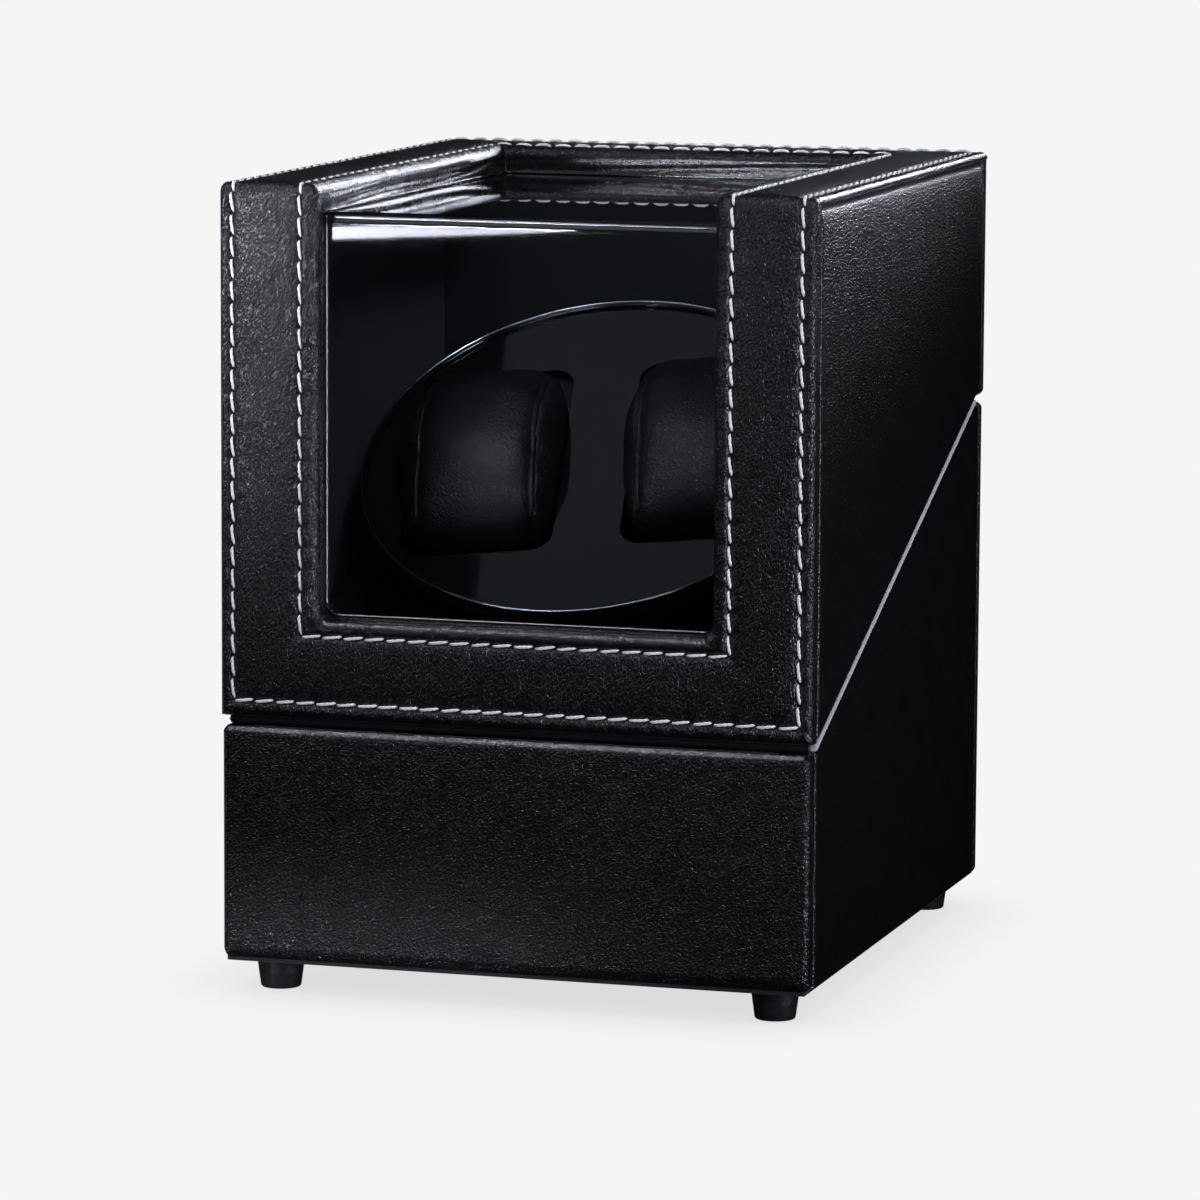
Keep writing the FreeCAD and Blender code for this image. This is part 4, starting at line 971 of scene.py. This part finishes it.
def local_mesh(name, verts_mm, faces, mat, body, weld=0.0, sharp=None):
    """verts in millimetres in the turntable's own axes."""
    w = [LOCAL @ (Vector(v) * MM) for v in verts_mm]
    box_mm = [tuple(np.array(p) / MM + SHIFT) for p in w]
    return finish_mesh(name, box_mm, faces, mat, body, weld=weld, sharp=sharp)


rim = [(59.86 + 0.42 * math.cos(math.radians(a)), 0.86 + 0.42 * math.sin(math.radians(a))) for a in range(-60, 241, 25)]
v, f = [], []
for i in range(180):
    a = 2 * math.pi * i / 180
    for r, h in rim:
        v.append((r * math.cos(a), r * math.sin(a), h))
f = grid_faces(180, len(rim), 0, True)
f += [(j, j + 1, 179 * len(rim) + j + 1, 179 * len(rim) + j) for j in range(len(rim) - 1)]
local_mesh("turntable_rim", v, f, M["rim"], "turntable")


def evaluated(o):
    dg = bpy.context.evaluated_depsgraph_get()
    dg.update()
    return bpy.data.meshes.new_from_object(o.evaluated_get(dg))


def make_pillow():
    """One pillow about its own middle, in millimetres: vertices and faces."""
    ru, vm, hu = 41.0, 31.2, 16.6
    top_c, low_c = -24.0, 24.6
    up = [(x, top_c + math.sqrt(ru * ru - x * x)) for x in np.linspace(vm, -vm, 25)]
    dn = [(x, low_c - math.sqrt(ru * ru - x * x)) for x in np.linspace(-vm, vm, 25)]
    ring_ = up + dn
    nn = len(ring_)
    verts, faces = [], []
    us = np.linspace(-hu, hu, 13)
    K = 0.01                              # ten times its size, in metres
    for u in us:
        for v_, w_ in ring_:
            verts.append((u * K, v_ * K, w_ * K))
    faces = grid_faces(len(us), nn, 0, False, True)
    faces.append(tuple(range(nn)))
    faces.append(tuple((len(us) - 1) * nn + k for k in range(nn - 1, -1, -1)))
    me = bpy.data.meshes.new("pillow_start")
    me.from_pydata(verts, [], faces)
    me.validate()
    bm = bmesh.new()
    bm.from_mesh(me)
    bmesh.ops.recalc_face_normals(bm, faces=bm.faces)
    bm.to_mesh(me)
    bm.free()
    o = bpy.data.objects.new("pillow_start", me)
    scene.collection.objects.link(o)
    rm = o.modifiers.new("even", "REMESH")
    rm.mode = "VOXEL"
    rm.voxel_size = 0.040
    even = evaluated(o)
    o.modifiers.clear()
    o.data = even
    start_co = np.array([v.co for v in even.vertices])
    cl = o.modifiers.new("puff", "CLOTH")
    cl.settings.quality = 6
    cl.settings.use_pressure = True
    cl.settings.uniform_pressure_force = 4.0
    cl.settings.effector_weights.gravity = 0.0
    cl.settings.tension_stiffness = 12
    cl.settings.compression_stiffness = 12
    cl.settings.shear_stiffness = 4
    cl.settings.bending_stiffness = 0.6
    cl.point_cache.frame_start = 1
    cl.point_cache.frame_end = 20
    for fr in range(1, 21):
        scene.frame_set(fr)
    done = evaluated(o)
    co = np.array([v.co for v in done.vertices])
    scene.frame_set(1)
    o.modifiers.clear()
    mv = co - start_co
    ln = np.linalg.norm(mv, axis=1)
    cap = 0.05
    mv *= np.minimum(1.0, cap / np.maximum(ln, 1e-9))[:, None]
    co = start_co + mv
    even.vertices.foreach_set("co", co.astype(np.float32).ravel())
    even.update()
    sub = o.modifiers.new("fine", "SUBSURF")
    sub.levels = sub.render_levels = 2
    fine = evaluated(o)
    co = np.array([v.co for v in fine.vertices]) / K
    fc = [tuple(p.vertices) for p in fine.polygons]
    bpy.data.objects.remove(o)
    # seams near both ends draw the covering in
    u, v_, w_ = co[:, 0].copy(), co[:, 1].copy(), co[:, 2].copy()
    ang = np.arctan2(w_, v_)
    rad = np.hypot(v_, w_)
    for s in (-1, 1):
        d_ = u - s * 14.6
        pull = 1.05 * np.exp(-(d_ / 1.25) ** 2) + 0.35 * np.exp(-(d_ / 3.2) ** 2)
        pull *= 1 + 0.16 * np.sin(ang * 46) * np.exp(-(np.abs(d_) / 3.0) ** 2)
        scale = (rad - pull * np.clip(rad / 10, 0, 1)) / np.maximum(rad, 1e-6)
        v_ *= scale
        w_ *= scale
    n3 = np.array([noise.noise(Vector((a * 0.11, b * 0.07, c * 0.11))) for a, b, c in zip(u, v_, w_)])
    n4 = np.array([noise.noise(Vector((a * 0.28, b * 0.16, c * 0.28 + 5))) for a, b, c in zip(u, v_, w_)])
    lift = (0.35 * n3 + 0.16 * n4) * (w_ > 0)
    w_ += lift
    # clear of the cup below the disc
    rl = np.hypot(v_, w_ - low_c)
    lim = 42.7
    over = (rl > lim) & (w_ < 2.0)
    k_ = np.where(over, lim / rl, 1.0)
    v_ = v_ * k_
    w_ = np.where(over, low_c + (w_ - low_c) * k_, w_)
    v_ = np.where(w_ < 2.5, np.clip(v_, -33.3, 33.3), v_)
    u = np.where(w_ < 2.5, np.clip(u, -18.7, 18.7), np.clip(u, -19.4, 19.4))
    w_ = np.minimum(w_, 19.6)
    return np.stack([u, v_, w_], 1), fc


pco, pfc = make_pillow()
tree = BVHTree.FromPolygons([Vector(p) for p in pco], pfc)
pipes = []
for s in (-1, 1):
    path = []
    for i in range(120):
        a = 2 * math.pi * i / 120
        d_ = Vector((0, math.cos(a), math.sin(a)))
        hit = tree.ray_cast(Vector((s * 14.6, 0, 0)) + d_ * 70, -d_)
        p = hit[0] if hit[0] is not None else Vector((s * 14.6, 0, 0)) + d_ * 18
        below = 1.0 if p.z < 3.0 else 0.0
        q = p - d_ * (0.15 + 0.75 * below)
        path.append(np.array(q))
    pa_ = np.array(path)
    for _ in range(2):
        pa_ = (np.roll(pa_, 1, 0) + 2 * pa_ + np.roll(pa_, -1, 0)) / 4
    pipes.append(tube(list(pa_), 0.78, 8, closed=True))
pipe_v, pipe_f = merge(pipes)
for side, sgn in (("left", -1), ("right", 1)):
    mid = np.array([28.0 * sgn, 0, 0])
    body = "pillow_" + side
    o = local_mesh("watch_pillow_" + side, pco + mid, pfc, M["pillow"], body)
    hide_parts(body)
    local_mesh("pillow_piping_" + side, np.array(pipe_v) + mid, pipe_f, M["pillow"], body)

# ----------------------------------- pale inlay in the knob's pointer groove
v, f = [], []
for y, half, lo, hi in ((173.32, 0.52, 1.62, 7.5), (173.50, 0.52, 1.62, 7.5), (173.58, 0.42, 1.74, 7.36)):
    v += [(75 - half, y, 55 + lo), (75 - half, y, 55 + hi), (75 + half, y, 55 + hi), (75 + half, y, 55 + lo)]
for k in (0, 4):
    f += [(k + i, k + (i + 1) % 4, k + 4 + (i + 1) % 4, k + 4 + i) for i in range(4)]
f += [(8, 9, 10, 11), (3, 2, 1, 0)]
finish_mesh("knob_pointer_inlay", v, f, M["white_ink"], "mode_knob", smooth=False)

# ============================================== materials of the carried nodes
FINISH = {
    "lining": ["base_bottom_board", "base_front_board", "base_back_board", "base_left_board", "base_right_board", "base_front_lip",
               "lid_left_board", "lid_right_board", "lid_front_frame", "lid_top_frame", "lid_back_board", "lid_back_liner",
               "deck_panel", "deck_cleats"],
    "nickel": ["hinge_base_leaves", "hinge_lid_leaves"],
    "steel": ["foot_screws", "hinge_pins", "hinge_screws_base", "hinge_screws_lid", "tray_screws", "turntable_shaft", "motor_can", "motor_gearhead"],
    "magnet": ["base_magnets", "lid_magnets"],
    "plastic": ["drive_collar", "drive_housing", "housing_cover", "motor_plate", "control_tray", "turntable_hub", "rocker_frame", "mode_switch", "dc_inlet"],
    "plastic_fine": ["mode_knob", "power_rocker"],
    "cup": ["pillow_cups"],
    "disc": ["turntable_disc"],
    "gear": ["turntable_gear", "drive_pinion"],
    "brass": ["shaft_bushes"],
    "pcb": ["control_board"],
    "lead": ["motor_lead"],
}
for key, names in FINISH.items():
    for nme in names:
        o = nodes[nme]
        if not o.material_slots:
            o.data.materials.append(M[key])
        for s in o.material_slots:
            s.material = M[key]

# ====================================================================== stage
fl = bpy.data.meshes.new("floor")
fl.from_pydata([(-40, -40, 0), (40, -40, 0), (40, 40, 0), (-40, 40, 0)], [], [(0, 1, 2, 3)])
floor = bpy.data.objects.new("floor", fl)
scene.collection.objects.link(floor)
fm = bpy.data.materials.new("floor_pale")
fm.use_nodes = True
ft = fm.node_tree
ft.nodes.clear()
fo = ft.nodes.new("ShaderNodeOutputMaterial")
fe = ft.nodes.new("ShaderNodeEmission")
# the floor glows evenly pale by itself; ambient occlusion dims that glow near the box, a painted contact shadow under
# it
ao = ft.nodes.new("ShaderNodeAmbientOcclusion")
ao.inputs["Distance"].default_value = 0.03
ao.samples = 8
mr = ft.nodes.new("ShaderNodeMapRange")
mr.inputs["From Min"].default_value = 0.0
mr.inputs["From Max"].default_value = 1.0
mr.inputs["To Min"].default_value = 0.70
mr.inputs["To Max"].default_value = 0.913
ft.links.new(ao.outputs["AO"], mr.inputs["Value"])
ft.links.new(mr.outputs["Result"], fe.inputs["Strength"])
ft.links.new(fe.outputs[0], fo.inputs["Surface"])
fl.materials.append(fm)
floor.visible_glossy = False
floor.visible_diffuse = False

world = bpy.data.worlds.new("studio")
scene.world = world
world.use_nodes = True
wt = world.node_tree
wt.nodes.clear()
wo = wt.nodes.new("ShaderNodeOutputWorld")
wm = wt.nodes.new("ShaderNodeMixShader")
lp = wt.nodes.new("ShaderNodeLightPath")
w_room = wt.nodes.new("ShaderNodeBackground")
w_room.inputs["Color"].default_value = (0.90, 0.95, 1.0, 1.0)
w_room.inputs["Strength"].default_value = 0.17
w_dim = wt.nodes.new("ShaderNodeBackground")
w_dim.inputs["Color"].default_value = (0.90, 0.95, 1.0, 1.0)
w_dim.inputs["Strength"].default_value = 0.006
w_cam = wt.nodes.new("ShaderNodeBackground")
w_cam.inputs["Color"].default_value = (1, 1, 1, 1)
w_cam.inputs["Strength"].default_value = 0.913
wm2 = wt.nodes.new("ShaderNodeMixShader")
wt.links.new(lp.outputs["Is Glossy Ray"], wm2.inputs[0])
wt.links.new(w_room.outputs[0], wm2.inputs[1])
wt.links.new(w_dim.outputs[0], wm2.inputs[2])
wt.links.new(lp.outputs["Is Camera Ray"], wm.inputs[0])
wt.links.new(wm2.outputs[0], wm.inputs[1])
wt.links.new(w_cam.outputs[0], wm.inputs[2])
wt.links.new(wm.outputs[0], wo.inputs["Surface"])


def area(name, loc, aim, sx, sy, watts, colour=(1, 1, 1), spread=180.0, roll_deg=0.0):
    li = bpy.data.lights.new(name, "AREA")
    li.shape = "RECTANGLE"
    li.size, li.size_y = sx, sy
    li.energy = watts
    li.color = colour
    li.spread = math.radians(spread)
    ob = bpy.data.objects.new(name, li)
    ob.location = loc
    q = (Vector(aim) - Vector(loc)).to_track_quat("-Z", "Y")
    ob.rotation_euler = (q.to_matrix() @ Matrix.Rotation(math.radians(roll_deg), 3, "Z")).to_euler()
    ob.visible_camera = False
    scene.collection.objects.link(ob)
    return ob


COOL = (0.87, 0.875, 1.0)
area("key_left", (-0.45, -0.70, 0.172), (-0.11, -0.09, 0.225), 0.12, 0.05, 0.127, COOL, 22)
area("low_left", (-0.40, -0.85, 0.05), (-0.12, -0.09, -0.03), 0.25, 0.03, 0.075, COOL, 9)
area("side_top", (0.30, 0.62, 0.36), (0.075, 0.085, 0.285), 0.20, 0.06, 0.036, COOL, 20)
area("rim_back", (0.03, 0.90, 0.37), (-0.05, 0.0, 0.22), 0.09, 0.18, 0.036, COOL, 15)
area("roll_right", (0.205, 0.90, 0.47), (0.055, 0.03, 0.226), 0.10, 0.05, 0.006, COOL, 6)
area("roll_base", (-0.286, -0.468, 0.84), (-0.02, -0.09, 0.06), 0.30, 0.16, 0.045, COOL, 14)
area("back_wall", (-0.27, -0.84, 0.235), (0.0, 0.06, 0.199), 0.10, 0.03, 0.004, COOL, 5)
area("rake_left", (-0.9, -0.35, 0.5), (0, -0.08, 0.10), 0.3, 0.3, 0.05, COOL, 40)
area("window_bend", (-0.207, -0.226, 0.742), (0.0, -0.08, 0.19), 0.30, 0.10, 0.010, COOL, 22)
strip = area("window_strip", (-0.348, -0.95, 0.1147), (-0.0474, -0.0834, 0.188), 0.245, 0.0047, 0.00016, COOL, 10, 1.5)
strip.data.shape = "ELLIPSE"
area("disc_sheen", (-0.186, 0.136, 0.73), (0.0, -0.02, 0.1286), 0.30, 0.24, 0.0006, COOL, 20)
area("fill_right", (0.6, -1.1, 0.45), (0, 0.0, 0.12), 0.3, 0.3, 0.14, COOL, 60)
area("edge_right", (0.96, -0.40, 0.05), (0, -0.05, 0.10), 0.12, 0.20, 0.40, COOL, 40)
area("front_high", (-0.33, -0.80, 0.62), (0, -0.08, 0.09), 0.45, 0.45, 0.04, COOL, 40)
area("inside", (0.0, -0.45, 0.70), (0, 0.03, 0.15), 0.16, 0.16, 0.030, COOL, 22)
area("inside_right", (0.30, -0.30, 0.75), (0, 0.02, 0.17), 0.16, 0.16, 0.04, COOL, 16)

# light coming up from the pale floor behind the box and at its sides
area("floor_back", (-0.02, 0.51, 0.002), (-0.02, 0.51, 1.0), 0.16, 0.82, 0.273, COOL)
area("floor_left", (-0.50, 0.425, 0.002), (-0.50, 0.425, 1.0), 0.80, 0.99, 1.65, COOL)
area("floor_right", (0.68, 0.065, 0.002), (0.68, 0.065, 1.0), 0.70, 0.37, 0.45, COOL)

scene.view_settings.view_transform = "Standard"
scene.view_settings.look = "None"
scene.view_settings.exposure = 0.0
scene.view_settings.gamma = 1.0

cam_d = bpy.data.cameras.new("photo_camera")
cam_d.sensor_width = 36.0
cam_d.sensor_fit = "HORIZONTAL"
cam_d.lens = 187.2876
cam_d.clip_start, cam_d.clip_end = 0.05, 200.0
cam = bpy.data.objects.new("photo_camera", cam_d)
cam.matrix_world = Matrix((
    (0.957606101400603, -0.04475463600395957, 0.2845831637966153, 0.44921809),
    (0.2880315227537843, 0.13046979746286028, -0.9486914534505602, -1.51393319),
    (0.005328832937362776, 0.9904416461892913, 0.13782942005744772, 0.30889365),
    (0, 0, 0, 1)))
scene.collection.objects.link(cam)
scene.camera = cam

bpy.context.view_layer.update()
